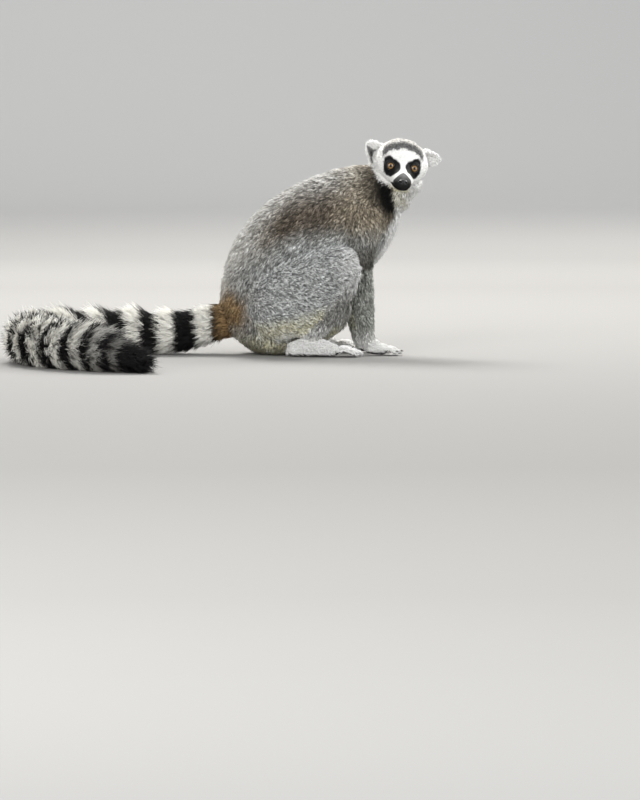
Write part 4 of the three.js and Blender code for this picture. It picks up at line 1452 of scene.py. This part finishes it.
class LEMUR_OT_nails(bpy.types.Operator):
    """Adds the nails of fingers and toes"""

    bl_idname = "lemur.nails"
    bl_label = "Nails"

    def execute(self, context):
        length = context.scene.lemur_body.nail_length
        material = leather_material("nail", srgb(58, 50, 44), 0.3, 500.0)
        for limb, side in product(PAWS, SIDES):
            bm = bmesh.new()
            for end, start in DIGIT_ENDS[limb]:
                nail(bm, end, start, side, limb == "hand", length, NAIL_HALF[limb])
            piece = piece_of(bm, f"nails_{limb}_{side}", material)
            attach(piece, "root")
        return {"FINISHED"}


# ------------------------------------------------------------------ studio
def studio_floor(studio):
    """A floor that sweeps up behind into a backdrop."""
    bm = bmesh.new()
    width, front, back, height, bend = 26.0, -13.0, 6.5, 10.0, 1.5
    turns = [math.radians(90 * k / 12) for k in range(1, 13)]
    points = [(front, 0.0), (back - bend, 0.0),
              *((back - bend + bend * math.sin(a), bend - bend * math.cos(a)) for a in turns), (back, height)]
    row = [bm.verts.new((-width / 2, y, z)) for y, z in points]
    edges = [bm.edges.new(pair) for pair in zip(row[:-1], row[1:])]
    made = bmesh.ops.extrude_edge_only(bm, edges=edges)
    moved = [g for g in made["geom"] if isinstance(g, bmesh.types.BMVert)]
    bmesh.ops.translate(bm, verts=moved, vec=(width, 0, 0))
    bmesh.ops.recalc_face_normals(bm, faces=bm.faces)
    for face in bm.faces:
        face.smooth = True
        if face.normal.z < 0 or face.normal.y > 0.5:
            face.normal_flip()
    mesh = mesh_of(bm, "studio_floor")
    mesh.materials.append(paper_material(tuple(studio.floor)))
    piece = object_from(mesh, "studio_floor")


def add_lamp(name, place, target, across, colour, watts):
    data = bpy.data.lights.new(name, "AREA")
    data.shape, data.size, data.color, data.energy = "DISK", across, colour, watts
    piece = object_from(data, name)
    piece.location = place
    piece.visible_camera = False
    piece.rotation_euler = (Vector(target) - Vector(place)).to_track_quat("-Z", "Y").to_euler()


def add_camera(studio):
    data = bpy.data.cameras.new("camera")
    data.sensor_fit, data.sensor_width, data.clip_end = "AUTO", 36.0, 100.0
    data.lens = data.sensor_width * studio.distance / studio.view_height
    e = studio.elevation
    piece = object_from(data, "camera")
    piece.location = (Vector((VIEW_X, 0.0, VIEW_Z / math.cos(e)))
                      + studio.distance * Vector((0.0, -math.cos(e), math.sin(e))))
    piece.rotation_euler = (math.pi / 2 - e, 0.0, 0.0)
    return piece


class LEMUR_OT_stage(bpy.types.Operator):
    """Sets the floor, lamps and camera"""

    bl_idname = "lemur.stage"
    bl_label = "Stage"

    def execute(self, context):
        scene = context.scene
        studio = scene.lemur_studio
        studio_floor(studio)
        for name, build in LAMPS.items():
            add_lamp(name, *build, getattr(studio, name))
        scene.world = bpy.data.worlds.new("studio")
        scene.world.use_nodes = True
        background = scene.world.node_tree.nodes["Background"]
        background.inputs["Color"].default_value = SKY_COLOUR
        background.inputs["Strength"].default_value = SKY_STRENGTH
        scene.camera = add_camera(studio)
        scene.view_settings.view_transform = "Standard"
        return {"FINISHED"}


# ------------------------------------------------------------------ add-on
STEPS = (LEMUR_OT_skin, LEMUR_OT_coat, LEMUR_OT_eyes, LEMUR_OT_nose, LEMUR_OT_nails, LEMUR_OT_stage)
GROUPS = {"lemur_coat": LemurCoat, "lemur_body": LemurBody, "lemur_studio": LemurStudio}


class LEMUR_PT_panel(bpy.types.Panel):
    """Lists the steps that build the lemur"""

    bl_idname = "LEMUR_PT_panel"
    bl_label = "Lemur"
    bl_space_type = "VIEW_3D"
    bl_region_type = "UI"
    bl_category = "Lemur"

    def draw(self, context):
        for step in STEPS:
            self.layout.operator(step.bl_idname)
        for name, group in GROUPS.items():
            box = self.layout.box()
            for setting in group.__annotations__:
                box.prop(getattr(context.scene, name), setting)


CLASSES = (*GROUPS.values(), *STEPS, LEMUR_PT_panel)


def register():
    for cls in CLASSES:
        bpy.utils.register_class(cls)
    for name, group in GROUPS.items():
        setattr(bpy.types.Scene, name, PointerProperty(type=group))


def unregister():
    for name in GROUPS:
        delattr(bpy.types.Scene, name)
    for cls in reversed(CLASSES):
        bpy.utils.unregister_class(cls)


def main():
    register()
    bpy.ops.lemur.skin()
    bpy.ops.lemur.coat()
    bpy.ops.lemur.eyes()
    bpy.ops.lemur.nose()
    bpy.ops.lemur.nails()
    bpy.ops.lemur.stage()
    bpy.context.view_layer.update()


if __name__ == "__main__":
    main()
